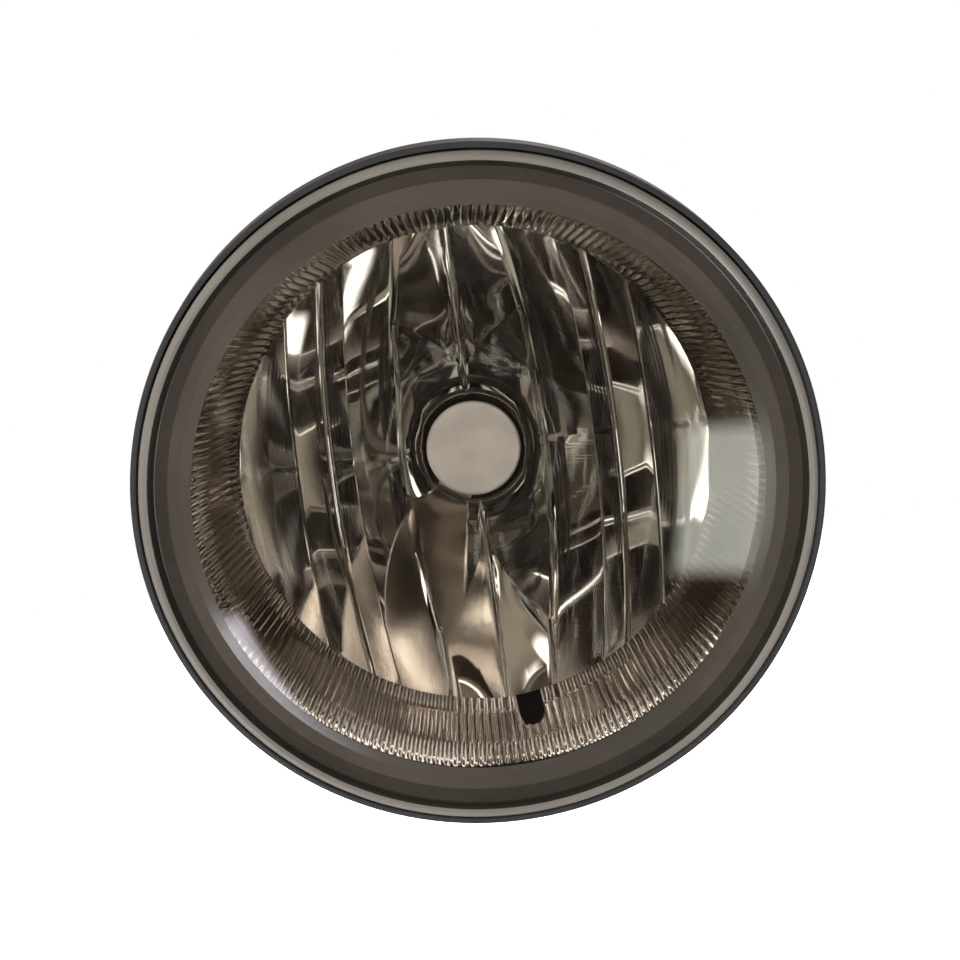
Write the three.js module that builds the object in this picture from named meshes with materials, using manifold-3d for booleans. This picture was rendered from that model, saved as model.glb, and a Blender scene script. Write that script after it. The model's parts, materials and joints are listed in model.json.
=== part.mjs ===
// Round fog light on a swivelling yoke. Millimetres. +X to the side, the lamp faces -Y, +Z up.
// The origin is the centre of the bracket pad's top face.
import * as THREE from "three";
import * as BufferGeometryUtils from "three/addons/utils/BufferGeometryUtils.js";
import Module from "manifold-3d";

const GAP = 0.3; // running gap between neighbouring pieces
const ROUND = 48; // segments of the large turned pieces
const SMALL_ROUND = 24; // segments of screws, pins and bushes
const TINY_ROUND = 12; // segments of wires and rivets

// Optical axis: parallel to Y at this height. The pivots cross it.
const AXIS_Z = -52;
const PIVOT_Y = -4;

// Rim: the lens, its groove and the bezel share an axis that nods down from the optical axis.
const RIM_TILT = THREE.MathUtils.degToRad(10.8);
const RIM_Y = -43;
const RIM_DROP = 7.86;
const RIM_R = 60;

// Lens, in the rim frame (depths count backward from the front edge of the bead)
const LENS_R = 58.6;
const LENS_BEAD_R = 56.3;
const LENS_GROOVE_R = 51.5;
const LENS_GROOVE_DEPTH = 1.8;
const LENS_THICK = 2.8;
const LENS_CROWN = 7.5;
const LENS_EDGE_DEPTH = 6;
const LENS_FOOT_R = 56;

// Housing groove and bowl, in the rim frame
const GROOVE_FLOOR = 8.3;
const GROOVE_INNER_R = 55.6;
const SEAT_INNER_R = 52.3;
const SEAT_DEPTH = 4.8;
const RIM_BACK = 9.9;
const RIM_LIP_DEPTH = 1.2;
const WALL = 2;

// Bezel ring
const FLUTES = 84;
const FLUTE_DEPTH = 0.35;
const BEZEL_OUTER_R = 51.8;
const BEZEL_BEND_R = 49.7;
const BEZEL_FRONT = 4.8;
const BEZEL_THICK = 1.3;
const NOTCH_R = 2.15;
const NOTCH_RUN = 3.4;
const NOTCH_ANGLE = THREE.MathUtils.degToRad(5.2);

// Reflector: paraboloid about the optical axis, cut by a round opening set a little low
const VERTEX_Y = 11;
const FOCAL = 14;
const OPENING_R = 42;
const OPENING_DROP = 2.1;
const REFLECTOR_SHELL = 2.4;
const BULB_HOLE_R = 10.5;
const REFLECTOR_HOLE_R = 9.7;
const STRIP_EDGES = [0, 14.2, 22.3, 26.4, 32.2, 43.5];
const STRIP_SAG = [0.3, 0.45, 0.2, 0.35, 0.55];
const SPLIT_SLOPE = 0.012;

// Reflector fixings
const BOSS_REACH = 24;
const BOSS_ANGLES = [30, 150, 270].map((degrees) => THREE.MathUtils.degToRad(degrees));
const BOSS_R = 2.8;
const PAD_R = 4.5;
const PAD_FRONT = 8;
const PAD_BACK = 14.5;
const SCREW_R = 1.5;
const SCREW_TIP_Y = 3;

// Collar for the bulb
const COLLAR_R = 17;
const COLLAR_BACK = 23;
const BACK_WALL_Y = 17;
const CHAMBER_R = 13.5;
const LIP_FRONT = 20;
const LIP_R = 11.2;
const LUG_R = 13.1;
const LUG_COUNT = 3;
const LUG_SPREAD = THREE.MathUtils.degToRad(30);
const NOTCH_SPREAD = THREE.MathUtils.degToRad(38);
const TWIST = THREE.MathUtils.degToRad(45);

// Bulb
const FLANGE_R = 15.5;
const FLANGE_FRONT = 25;
const FLANGE_BACK = 27.5;
const CONNECTOR_BACK = 42;
const CONNECTOR_DROP = 24;
const CONNECTOR_HALF = 8.5;
const SOCKET_DEPTH = 13;
const GLASS_R = 5.6;
const GLASS_WALL = 0.9;
const GLASS_TIP = -14;
const FILAMENT_Y = -3;
const SEAL_MAJOR = 14;
const SEAL_MINOR = 0.7;

// Glare shield
const SHIELD_R = 8.3;
const SHIELD_FRONT = -26;
const SHIELD_BACK = -15;
const SHIELD_THICK = 0.8;
const LEG_ANGLE = THREE.MathUtils.degToRad(121);
const LEG_HALF = 3.2;
const LEG_INNER_R = 8;
const FOOT_NEAR = [8.6, 13.5];
const FOOT_FAR = [17, 9];
const FOOT_HOLE_AT = 0.68;
const RIVET_R = 0.8;
const RIVET_HEAD_R = 1.4;
const RIVET_SPACING = 1.7;
const RIVET_DEPTH = 2.1;

// Bracket
const STRAP = 2.5;
const PAD_HALF_X = 18;
const PAD_REAR = 12;
const STRAP_FRONT = -12;
const STRAP_REAR = 6;
const ARM_OUTER = 51;
const ARM_END_R = 9;
const SLOT_X = 11;
const SLOT_HALF = 3.5;
const SLOT_RUN = 2;
const TONGUE_HALF = 8;
const TAB_FRONT = 21;
const TAB_LOW = -25;

// Pivots and aiming gear
const BOSS_FACE = 46.6;
const PIVOT_HOLE_END = 40.8;
const PIVOT_BOSS_R = 8;
const PIVOT_PIN_R = 3;
const ADJUSTER_RISE = 37;
const EAR_INNER = 6.5;
const EAR_OUTER = 9.5;
const EAR_FRONT = 3;
const EAR_BACK = 15;
const EAR_TOP = 43.5;
const EAR_SLOT_RUN = 1.4;
const THREAD_R = 2.3;
const NUT_FRONT = 5;
const NUT_BACK = 13;
const NUT_HALF = 4;
const NUT_PIN_R = 2.5;
const SCREW_FRONT = 3;
const CLIP_FRONT = 17.6;
const CLIP_BACK = 18.9;
const CLIP_GROOVE_R = 1.9;

// Breather
const SPIGOT = { x: -24.5, rise: -19, front: 2.5, back: 20, outer: 3, bore: 1.5 };
const CAP = { front: 13.2, back: 22.5, r: 4.5, hole: 3.3, floor: 20.6 };

const wasm = await Module();
wasm.setup();

function toManifold(geometry) {
  const bare = geometry.clone();
  bare.deleteAttribute("normal");
  bare.deleteAttribute("uv");
  const merged = BufferGeometryUtils.mergeVertices(bare, 1e-4);
  const vertProperties = new Float32Array(merged.attributes.position.array);
  const triVerts = new Uint32Array(merged.index.array);
  return new wasm.Manifold(new wasm.Mesh({ numProp: 3, vertProperties, triVerts }));
}

function toGeometry(manifold) {
  const mesh = manifold.getMesh();
  const geometry = new THREE.BufferGeometry();
  geometry.setAttribute("position", new THREE.BufferAttribute(new Float32Array(mesh.vertProperties), 3));
  geometry.setIndex(new THREE.BufferAttribute(new Uint32Array(mesh.triVerts), 1));
  return geometry;
}

function join(first, ...others) {
  const union = others.reduce((sum, other) => sum.add(toManifold(other)), toManifold(first));
  return toGeometry(union);
}

function cut(first, ...tools) {
  const rest = tools.reduce((sum, tool) => sum.subtract(toManifold(tool)), toManifold(first));
  return toGeometry(rest);
}

function common(first, second) {
  return toGeometry(toManifold(first).intersect(toManifold(second)));
}

// A turned piece about Y from a closed outline of [radius, y] corners.
function turned(outline, segments = SMALL_ROUND) {
  const area = outline.reduce((sum, [r, y], i) => {
    const [nextR, nextY] = outline[(i + 1) % outline.length];
    return sum + r * nextY - nextR * y;
  }, 0);
  const ordered = area > 0 ? outline : [...outline].reverse();
  const onAxis = ordered.findIndex(([r], i) => r === 0 && ordered.at(i - 1)[0] === 0);
  const loop = onAxis < 0 ? [...ordered, ordered[0]] : [...ordered.slice(onAxis), ...ordered.slice(0, onAxis)];
  return new THREE.LatheGeometry(loop.map(([r, y]) => new THREE.Vector2(r, y)), segments);
}

function rod(radius, from, to, segments = SMALL_ROUND) {
  return turned([[0, from], [radius, from], [radius, to], [0, to]], segments);
}

function tube(inner, outer, from, to, segments = SMALL_ROUND) {
  return turned([[inner, from], [outer, from], [outer, to], [inner, to]], segments);
}

function box(x0, x1, y0, y1, z0, z1) {
  return new THREE.BoxGeometry(x1 - x0, y1 - y0, z1 - z0)
    .translate((x0 + x1) / 2, (y0 + y1) / 2, (z0 + z1) / 2);
}

// A flat outline of [x, z] corners, thickened along Y.
function plate(corners, from, to) {
  const shape = new THREE.Shape(corners.map(([x, z]) => new THREE.Vector2(x, z)));
  return new THREE.ExtrudeGeometry(shape, { depth: to - from, bevelEnabled: false, curveSegments: 8 })
    .rotateX(Math.PI / 2)
    .translate(0, to, 0);
}

// A wedge of a disc about Y between two radii, centred on an angle.
function sector(radius, from, to, angle, spread) {
  const steps = 6;
  const corners = [[0, 0]];
  for (let i = 0; i <= steps; i += 1) {
    const turn = angle + spread * (i / steps - 0.5);
    corners.push([radius * Math.cos(turn), radius * Math.sin(turn)]);
  }
  return plate(corners, from, to);
}

// Skin over rings of points; every ring has the same number of points.
function skin(rings, closedLoop) {
  const count = rings[0].length;
  const points = rings.flat();
  const index = [];
  const spans = closedLoop ? rings.length : rings.length - 1;
  for (let i = 0; i < spans; i += 1) {
    const next = (i + 1) % rings.length;
    for (let j = 0; j < count; j += 1) {
      const a = i * count + j;
      const b = i * count + ((j + 1) % count);
      const c = next * count + ((j + 1) % count);
      const d = next * count + j;
      index.push(a, b, c, a, c, d);
    }
  }
  if (!closedLoop) {
    const last = (rings.length - 1) * count;
    for (let j = 1; j < count - 1; j += 1) {
      index.push(0, j + 1, j);
      index.push(last, last + j, last + j + 1);
    }
  }
  const geometry = new THREE.BufferGeometry();
  geometry.setAttribute("position", new THREE.Float32BufferAttribute(points.flatMap((p) => p.toArray()), 3));
  geometry.setIndex(index);
  return geometry;
}

function circle(radius, y, z, tilt) {
  const points = [];
  for (let i = 0; i < ROUND; i += 1) {
    const turn = (i / ROUND) * Math.PI * 2;
    const across = radius * Math.sin(turn);
    points.push(new THREE.Vector3(radius * Math.cos(turn), y - across * Math.sin(tilt), z + across * Math.cos(tilt)));
  }
  return points.reverse();
}

function rimCircle(radius, depth) {
  const y = RIM_Y + depth * Math.cos(RIM_TILT);
  const z = depth * Math.sin(RIM_TILT) - RIM_DROP;
  return circle(radius, y, z, RIM_TILT);
}

// Places a piece drawn about Y with depths from the rim plane.
function onRim(geometry) {
  return geometry.rotateX(RIM_TILT).translate(0, RIM_Y, AXIS_Z - RIM_DROP);
}

function onAxis(geometry) {
  return geometry.translate(0, 0, AXIS_Z);
}

function arc(radius, centre, fromAngle, toAngle, steps) {
  const points = [];
  for (let i = 0; i <= steps; i += 1) {
    const turn = fromAngle + ((toAngle - fromAngle) * i) / steps;
    points.push([Math.abs(radius * Math.sin(turn)), centre - radius * Math.cos(turn)]);
  }
  return points;
}

function domeDepth(r) {
  const rise = LENS_GROOVE_DEPTH + LENS_CROWN;
  const sphere = (LENS_GROOVE_R ** 2 + rise ** 2) / (2 * rise);
  return sphere - LENS_CROWN - Math.sqrt(sphere ** 2 - r ** 2);
}

function makeLens() {
  const steps = 5;
  const front = [];
  const back = [];
  for (let i = 0; i <= steps; i += 1) {
    const r = (LENS_GROOVE_R * i) / steps;
    front.push([r, domeDepth(r)]);
    back.unshift([r, domeDepth(r) + LENS_THICK]);
  }
  const bead = (LENS_BEAD_R + LENS_R) / 2;
  const edge = [
    [LENS_BEAD_R - 0.3, LENS_GROOVE_DEPTH],
    [LENS_BEAD_R + 0.1, 0.5],
    [bead, 0],
    [LENS_R, 0.8],
    [LENS_R, LENS_EDGE_DEPTH],
    [LENS_FOOT_R, LENS_EDGE_DEPTH],
    [LENS_FOOT_R, LENS_GROOVE_DEPTH + LENS_THICK - GAP / 2],
  ];
  return onRim(turned([...front, ...edge, ...back], ROUND));
}

function makeLensSeal() {
  const front = LENS_EDGE_DEPTH + GAP;
  const back = GROOVE_FLOOR - GAP;
  const inner = GROOVE_INNER_R + GAP;
  const outer = LENS_R;
  const waist = (inner + outer) / 2;
  const outline = [[inner, front], [waist, front + 0.4], [outer, front], [outer, back], [inner, back]];
  return onRim(turned(outline, 48));
}

function reflectorY(x, rise) {
  const side = Math.abs(x);
  let y = VERTEX_Y - (x ** 2 + rise ** 2) / (4 * FOCAL);
  for (let i = 0; i < STRIP_SAG.length; i += 1) {
    const [near, far] = [STRIP_EDGES[i], STRIP_EDGES[i + 1]];
    if (side >= near && side <= far) {
      const across = (2 * side - near - far) / (far - near);
      y -= STRIP_SAG[i] * (1 - across ** 2);
    }
  }
  return y - SPLIT_SLOPE * Math.abs(rise);
}

function stripLines() {
  const lines = [0];
  for (let i = 0; i < STRIP_SAG.length; i += 1) {
    const [near, far] = [STRIP_EDGES[i], STRIP_EDGES[i + 1]];
    lines.push((near + far) / 2, far);
  }
  return [...lines.slice(1).reverse().map((x) => -x), ...lines];
}

// Open dish between two copies of the reflecting surface, one shifted back.
function dish() {
  const xs = stripLines();
  const zs = [];
  const rows = 16;
  const [low, high] = [-OPENING_R - OPENING_DROP - 1, OPENING_R - OPENING_DROP + 1];
  for (let i = 0; i <= rows; i += 1) {
    zs.push(i === rows / 2 ? 0 : low + ((high - low) * i) / rows);
  }
  const points = [];
  const at = (layer, i, j) => (layer * xs.length + i) * zs.length + j;
  for (const shift of [0, REFLECTOR_SHELL]) {
    xs.forEach((x) => zs.forEach((rise) => points.push(x, reflectorY(x, rise) + shift, rise)));
  }
  const index = [];
  const quad = (a, b, c, d) => index.push(a, b, c, a, c, d);
  for (let i = 0; i < xs.length - 1; i += 1) {
    for (let j = 0; j < zs.length - 1; j += 1) {
      quad(at(0, i, j), at(0, i + 1, j), at(0, i + 1, j + 1), at(0, i, j + 1));
      quad(at(1, i, j), at(1, i, j + 1), at(1, i + 1, j + 1), at(1, i + 1, j));
    }
    const top = zs.length - 1;
    quad(at(0, i, 0), at(1, i, 0), at(1, i + 1, 0), at(0, i + 1, 0));
    quad(at(0, i, top), at(0, i + 1, top), at(1, i + 1, top), at(1, i, top));
  }
  for (let j = 0; j < zs.length - 1; j += 1) {
    const end = xs.length - 1;
    quad(at(0, 0, j), at(0, 0, j + 1), at(1, 0, j + 1), at(1, 0, j));
    quad(at(0, end, j), at(1, end, j), at(1, end, j + 1), at(0, end, j + 1));
  }
  const geometry = new THREE.BufferGeometry();
  geometry.setAttribute("position", new THREE.Float32BufferAttribute(points, 3));
  geometry.setIndex(index);
  return geometry;
}

function bossSpot(angle) {
  return [BOSS_REACH * Math.cos(angle), BOSS_REACH * Math.sin(angle)];
}

function makeReflector() {
  const opening = rod(OPENING_R, -40, 20, ROUND).translate(0, 0, -OPENING_DROP);
  const trimmed = common(dish(), opening);
  const bosses = BOSS_ANGLES.map((angle) => {
    const [x, rise] = bossSpot(angle);
    return rod(BOSS_R, 1.7, PAD_FRONT - GAP, TINY_ROUND).translate(x, 0, rise);
  });
  const pilots = BOSS_ANGLES.map((angle) => {
    const [x, rise] = bossSpot(angle);
    return rod(SCREW_R + GAP, SCREW_TIP_Y - GAP, PAD_FRONT, TINY_ROUND).translate(x, 0, rise);
  });
  const hole = rod(REFLECTOR_HOLE_R, -10, 20, 32);
  const rivetHoles = [-1, 1].map((side) => inLegFrame(rivetHole(), side));
  return onAxis(cut(join(trimmed, ...bosses), hole, ...pilots, ...rivetHoles));
}

// The bezel runs from the tilted rim to the opening of the reflector, so its depth changes round the ring.
function makeBezelRing() {
  const rings = [];
  const columns = FLUTES * 2;
  for (let i = 0; i < columns; i += 1) {
    const turn = (i / columns) * Math.PI * 2;
    const flute = i % 2 === 0 ? FLUTE_DEPTH : 0;
    const [across, up] = [Math.cos(turn), Math.sin(turn)];
    const rimPoint = (radius, depth) => new THREE.Vector3(radius * across, depth, radius * up)
      .applyAxisAngle(new THREE.Vector3(1, 0, 0), RIM_TILT)
      .add(new THREE.Vector3(0, RIM_Y, -RIM_DROP));
    const x = OPENING_R * across;
    const rise = OPENING_R * up - OPENING_DROP;
    const y = reflectorY(x, rise) - GAP - 0.2;
    const outer = rimPoint(BEZEL_BEND_R, BEZEL_FRONT);
    const inner = new THREE.Vector3(x, y, rise);
    const slope = new THREE.Vector3().subVectors(inner, outer).normalize();
    const around = new THREE.Vector3(-up, 0, across);
    const normal = new THREE.Vector3().crossVectors(slope, around).normalize();
    const lift = normal.clone().multiplyScalar(flute * Math.sign(-normal.dot(new THREE.Vector3(across, 1, up))));
    const behind = normal.clone().multiplyScalar(-BEZEL_THICK * Math.sign(-normal.dot(new THREE.Vector3(across, 1, up))));
    const innerBack = inner.clone().add(new THREE.Vector3(behind.x, Math.min(behind.y, 0), behind.z));
    rings.push([
      rimPoint(BEZEL_OUTER_R, BEZEL_FRONT),
      outer.clone().add(lift),
      inner.clone().add(lift.clone().setY(Math.min(lift.y, 0))),
      innerBack,
      outer.clone().add(behind).add(slope.clone().multiplyScalar(1.2)),
      rimPoint(BEZEL_OUTER_R, BEZEL_FRONT + BEZEL_THICK),
    ]);
  }
  const ring = skin(rings.reverse(), true);
  const reach = OPENING_R + OPENING_DROP;
  const notchEnd = rod(NOTCH_R, -40, 0, TINY_ROUND).translate(0, 0, -reach - NOTCH_RUN);
  const notch = join(notchEnd, box(-NOTCH_R, NOTCH_R, -40, 0, -reach - NOTCH_RUN, -reach + 3))
    .rotateY(-NOTCH_ANGLE);
  return onAxis(cut(ring, notch));
}

function bowl(inset) {
  return skin([
    rimCircle(57 - inset * 2.35, inset ? 3 : 9.2),
    rimCircle(54.3 - inset, 12),
    rimCircle(51 - inset, 22),
    circle(46.8 - inset, -11, -2, RIM_TILT / 2),
    circle(34 - inset, 2, 0, 0),
    circle(23 - inset, BACK_WALL_Y - inset, 0, 0),
  ], false);
}

function makeHousing() {
  const rim = turned([
    [SEAT_INNER_R, SEAT_DEPTH], [GROOVE_INNER_R, SEAT_DEPTH], [GROOVE_INNER_R, GROOVE_FLOOR],
    [LENS_R + GAP, GROOVE_FLOOR], [LENS_R + GAP, RIM_LIP_DEPTH], [RIM_R, RIM_LIP_DEPTH + 0.4],
    [RIM_R, RIM_BACK], [SEAT_INNER_R, RIM_BACK + 2],
  ], ROUND).rotateX(RIM_TILT).translate(0, RIM_Y, -RIM_DROP);
  const collar = rod(COLLAR_R, BACK_WALL_Y - 1, COLLAR_BACK, 48);
  const ears = [-1, 1].map((side) => {
    const inner = Math.min(side * EAR_INNER, side * EAR_OUTER);
    return earPlate(inner, inner + EAR_OUTER - EAR_INNER);
  });
  const bosses = [-1, 1].map((side) => rod(PIVOT_BOSS_R, 37, BOSS_FACE)
    .rotateZ(-side * Math.PI / 2)
    .translate(0, PIVOT_Y, 0));
  const spigot = rod(SPIGOT.outer, SPIGOT.front, SPIGOT.back).translate(SPIGOT.x, 0, SPIGOT.rise);
  const pads = BOSS_ANGLES.map((angle) => {
    const [x, rise] = bossSpot(angle);
    return rod(PAD_R, PAD_FRONT, PAD_BACK).translate(x, 0, rise);
  });
  const seats = BOSS_ANGLES.map((angle) => {
    const [x, rise] = bossSpot(angle);
    const step = turned([
      [0, PAD_FRONT - 1], [SCREW_R + GAP, PAD_FRONT - 1], [SCREW_R + GAP, PAD_BACK],
      [PAD_R - 0.3, PAD_BACK], [PAD_R - 0.3, PAD_BACK + 6], [0, PAD_BACK + 6],
    ]);
    return step.translate(x, 0, rise);
  });
  const shell = cut(join(rim, bowl(0), collar, ...ears, ...bosses, spigot), bowl(WALL));
  const bores = [
    rod(BULB_HOLE_R + 0.1, 10, LIP_FRONT, 32),
    rod(CHAMBER_R, BACK_WALL_Y, LIP_FRONT, 32),
    rod(LIP_R, LIP_FRONT - 1, COLLAR_BACK + 1, 32),
    ...lugNotches(),
  ];
  const pivotHoles = [-1, 1].map((side) => rod(PIVOT_PIN_R + GAP, PIVOT_HOLE_END, BOSS_FACE + 1)
    .rotateZ(-side * Math.PI / 2)
    .translate(0, PIVOT_Y, 0));
  const breather = rod(SPIGOT.bore, 0, SPIGOT.back + 1, TINY_ROUND).translate(SPIGOT.x, 0, SPIGOT.rise);
  return onAxis(cut(join(shell, ...pads), ...bores, ...seats, ...pivotHoles, breather, clearEarSlot()));
}

// One ear, a plate across X that rises from the bowl.
function earPlate(from, to) {
  const low = 20;
  const middle = (EAR_FRONT + EAR_BACK) / 2;
  const outline = [
    [EAR_FRONT - 3, low], [EAR_BACK + 1, low], [EAR_BACK, ADJUSTER_RISE],
    [EAR_BACK - 2, EAR_TOP], [EAR_FRONT + 2, EAR_TOP], [EAR_FRONT, ADJUSTER_RISE],
  ].map(([y, z]) => [y - middle, z]);
  return plate(outline, from, to).rotateZ(-Math.PI / 2).translate(0, middle, 0);
}

// Upright slot through both ears for the pins of the nut.
function clearEarSlot() {
  const middle = (NUT_FRONT + NUT_BACK) / 2;
  const half = NUT_PIN_R + GAP;
  const run = EAR_SLOT_RUN;
  const outline = [];
  const steps = 8;
  for (let i = 0; i <= steps; i += 1) {
    const turn = (Math.PI * i) / steps;
    outline.push([half * Math.cos(turn), run + half * Math.sin(turn)]);
  }
  for (let i = 0; i <= steps; i += 1) {
    const turn = Math.PI + (Math.PI * i) / steps;
    outline.push([half * Math.cos(turn), -run + half * Math.sin(turn)]);
  }
  return plate(outline, -EAR_OUTER - 1, EAR_OUTER + 1)
    .rotateZ(-Math.PI / 2)
    .translate(0, middle, ADJUSTER_RISE);
}

function lugAngle(i) {
  return Math.PI / 2 + (i * 2 * Math.PI) / LUG_COUNT;
}

function lugNotches() {
  const notches = [];
  for (let i = 0; i < LUG_COUNT; i += 1) {
    notches.push(sector(CHAMBER_R, LIP_FRONT - 1, COLLAR_BACK + 1, lugAngle(i) - TWIST, NOTCH_SPREAD));
  }
  return notches;
}

function makeVentCap() {
  const outline = [
    [CAP.hole, CAP.front], [CAP.r, CAP.front], [CAP.r, CAP.back - 1], [CAP.r - 1, CAP.back],
    [0, CAP.back], [0, CAP.floor], [CAP.hole, CAP.floor],
  ];
  return turned(outline).translate(SPIGOT.x, 0, AXIS_Z + SPIGOT.rise);
}

// Radial X, along Y, tangent Z: the frame of the shield's leg.
function inLegFrame(geometry, side = 0) {
  return geometry.translate(0, 0, side * RIVET_SPACING).rotateY(LEG_ANGLE);
}

function footSpot() {
  return new THREE.Vector2(...FOOT_NEAR).lerp(new THREE.Vector2(...FOOT_FAR), FOOT_HOLE_AT);
}

function footTilt() {
  return Math.atan2(FOOT_NEAR[1] - FOOT_FAR[1], FOOT_FAR[0] - FOOT_NEAR[0]);
}

function onFoot(geometry) {
  const spot = footSpot();
  return geometry.rotateZ(-footTilt()).translate(spot.x, spot.y, 0);
}

function rivetHole() {
  return onFoot(rod(RIVET_R + GAP, -RIVET_DEPTH - GAP, 8, TINY_ROUND));
}

// Stamped cap with one leg that runs back through the bulb hole; its foot lies just behind the reflector.
function makeBulbShield() {
  const inner = SHIELD_R - SHIELD_THICK;
  const cap = turned([
    [0, SHIELD_FRONT], [SHIELD_R - 0.5, SHIELD_FRONT], [SHIELD_R, SHIELD_FRONT + 0.5],
    [SHIELD_R, SHIELD_BACK], [inner, SHIELD_BACK], [inner, SHIELD_FRONT + SHIELD_THICK],
    [0, SHIELD_FRONT + SHIELD_THICK],
  ], 32);
  const rise = SHIELD_THICK / Math.cos(footTilt());
  const outer = LEG_INNER_R + SHIELD_THICK;
  const legSide = [
    [inner + 0.05, SHIELD_BACK - 4], [SHIELD_R - 0.1, SHIELD_BACK - 4], [outer, SHIELD_BACK + 4],
    [outer, FOOT_NEAR[1] - 0.8], FOOT_FAR, [FOOT_FAR[0], FOOT_FAR[1] + rise],
    [FOOT_NEAR[0], FOOT_NEAR[1] + rise], [LEG_INNER_R, FOOT_NEAR[1] + rise - 0.8], [LEG_INNER_R, SHIELD_BACK + 4],
  ];
  const shape = new THREE.Shape(legSide.map(([r, y]) => new THREE.Vector2(r, y)));
  const leg = new THREE.ExtrudeGeometry(shape, { depth: LEG_HALF * 2, bevelEnabled: false })
    .translate(0, 0, -LEG_HALF);
  const inside = rod(inner, SHIELD_FRONT + 2, SHIELD_BACK + 1, 32);
  const holes = [-1, 1].map((side) => inLegFrame(rivetHole(), side));
  const trimmedLeg = cut(inLegFrame(leg), inside);
  return onAxis(cut(join(cap, trimmedLeg), ...holes));
}

function makeShieldRivet(side) {
  const under = SHIELD_THICK + GAP;
  const rivet = turned([
    [0, -RIVET_DEPTH], [RIVET_R, -RIVET_DEPTH], [RIVET_R, under], [RIVET_HEAD_R, under],
    [RIVET_HEAD_R * 0.6, under + 0.8], [0, under + 1],
  ], TINY_ROUND);
  return onAxis(inLegFrame(onFoot(rivet), side));
}

function makeReflectorScrew(angle) {
  const [x, rise] = bossSpot(angle);
  const under = PAD_BACK + GAP;
  const screw = turned([
    [0, SCREW_TIP_Y], [SCREW_R * 0.5, SCREW_TIP_Y + 0.2], [SCREW_R, SCREW_TIP_Y + 1.4], [SCREW_R, under],
    [SCREW_R * 2.2, under], [SCREW_R * 2.2, under + 1], [SCREW_R * 1.6, under + 2.2], [0, under + 2.2],
  ], 16);
  const cross = [box(-0.4, 0.4, under + 1, under + 3, -1.5, 1.5), box(-1.5, 1.5, under + 1, under + 3, -0.4, 0.4)];
  return onAxis(cut(screw, ...cross).translate(x, 0, rise));
}

function makeBracket() {
  const inner = ARM_OUTER - STRAP;
  const corner = STRAP * Math.tan(Math.PI / 8);
  const half = [
    [PAD_HALF_X, 0], [ARM_OUTER, -ARM_OUTER + PAD_HALF_X], [ARM_OUTER, AXIS_Z], [inner, AXIS_Z],
    [inner, -ARM_OUTER + PAD_HALF_X - corner], [PAD_HALF_X - corner, -STRAP],
  ];
  const mirrored = [...half].reverse().map(([x, z]) => [-x, z]);
  const strap = plate([...half, ...mirrored], STRAP_FRONT, STRAP_REAR);
  const middle = (STRAP_FRONT + STRAP_REAR) / 2;
  const ends = [-1, 1].map((side) => rod(ARM_END_R, inner, ARM_OUTER, 32)
    .rotateZ(-side * Math.PI / 2)
    .translate(0, middle, AXIS_Z));
  const pad = box(-PAD_HALF_X + corner, PAD_HALF_X - corner, STRAP_REAR - 1, PAD_REAR, -STRAP, 0);
  const tongue = box(-TONGUE_HALF, TONGUE_HALF, PAD_REAR - 1, TAB_FRONT + STRAP, -STRAP, 0);
  const tab = box(-TONGUE_HALF, TONGUE_HALF, TAB_FRONT, TAB_FRONT + STRAP, TAB_LOW, -STRAP + 0.5);
  const slots = [-1, 1].map((side) => padSlot(side * SLOT_X));
  const armHoles = [-1, 1].map((side) => rod(PIVOT_PIN_R + 1.9, inner - 1, ARM_OUTER + 1)
    .rotateZ(-side * Math.PI / 2)
    .translate(0, PIVOT_Y, AXIS_Z));
  const tabHole = rod(THREAD_R + 2.4, TAB_FRONT - 1, TAB_FRONT + STRAP + 1)
    .translate(0, 0, AXIS_Z + ADJUSTER_RISE);
  return cut(join(strap, ...ends, pad, tongue, tab), ...slots, ...armHoles, tabHole);
}

// Slot in the pad, long way front to back.
function padSlot(x) {
  const shape = new THREE.Shape();
  shape.absarc(0, SLOT_RUN, SLOT_HALF, 0, Math.PI);
  shape.absarc(0, -SLOT_RUN, SLOT_HALF, Math.PI, 2 * Math.PI);
  return new THREE.ExtrudeGeometry(shape, { depth: 3 * STRAP, bevelEnabled: false, curveSegments: 10 })
    .translate(x, 0, -2 * STRAP);
}

function makePivotBush(side) {
  const flangeFrom = BOSS_FACE + GAP;
  const armInner = ARM_OUTER - STRAP;
  return turned([
    [PIVOT_PIN_R + GAP, flangeFrom], [7.2, flangeFrom], [7.2, armInner - GAP],
    [PIVOT_PIN_R + 1.6, armInner - GAP], [PIVOT_PIN_R + 1.6, ARM_OUTER + 0.4], [PIVOT_PIN_R + GAP, ARM_OUTER + 0.4],
  ]).rotateZ(-side * Math.PI / 2).translate(0, PIVOT_Y, AXIS_Z);
}

function hexBar(radius, from, to) {
  return rod(radius, from, to, 6);
}

function makePivotScrew(side) {
  const under = ARM_OUTER + 0.4 + GAP;
  const stem = turned([
    [0, PIVOT_HOLE_END + GAP], [PIVOT_PIN_R, PIVOT_HOLE_END + GAP], [PIVOT_PIN_R, under],
    [7, under], [7, under + 1.2], [0, under + 1.2],
  ]);
  const head = hexBar(5.5, under + 1, under + 5);
  return join(stem, head).rotateZ(-side * Math.PI / 2).translate(0, PIVOT_Y, AXIS_Z);
}

function onAdjuster(geometry) {
  return geometry.translate(0, 0, AXIS_Z + ADJUSTER_RISE);
}

function makeAdjusterGrommet() {
  const front = TAB_FRONT - GAP;
  const back = TAB_FRONT + STRAP + GAP;
  const bore = THREAD_R + GAP;
  const neck = THREAD_R + 2.1;
  return onAdjuster(turned([
    [bore, front - 1.5], [6.2, front - 1.5], [6.2, front], [neck, front],
    [neck, back], [6.2, back], [6.2, back + 1.4], [bore, back + 1.4],
  ]));
}

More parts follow.
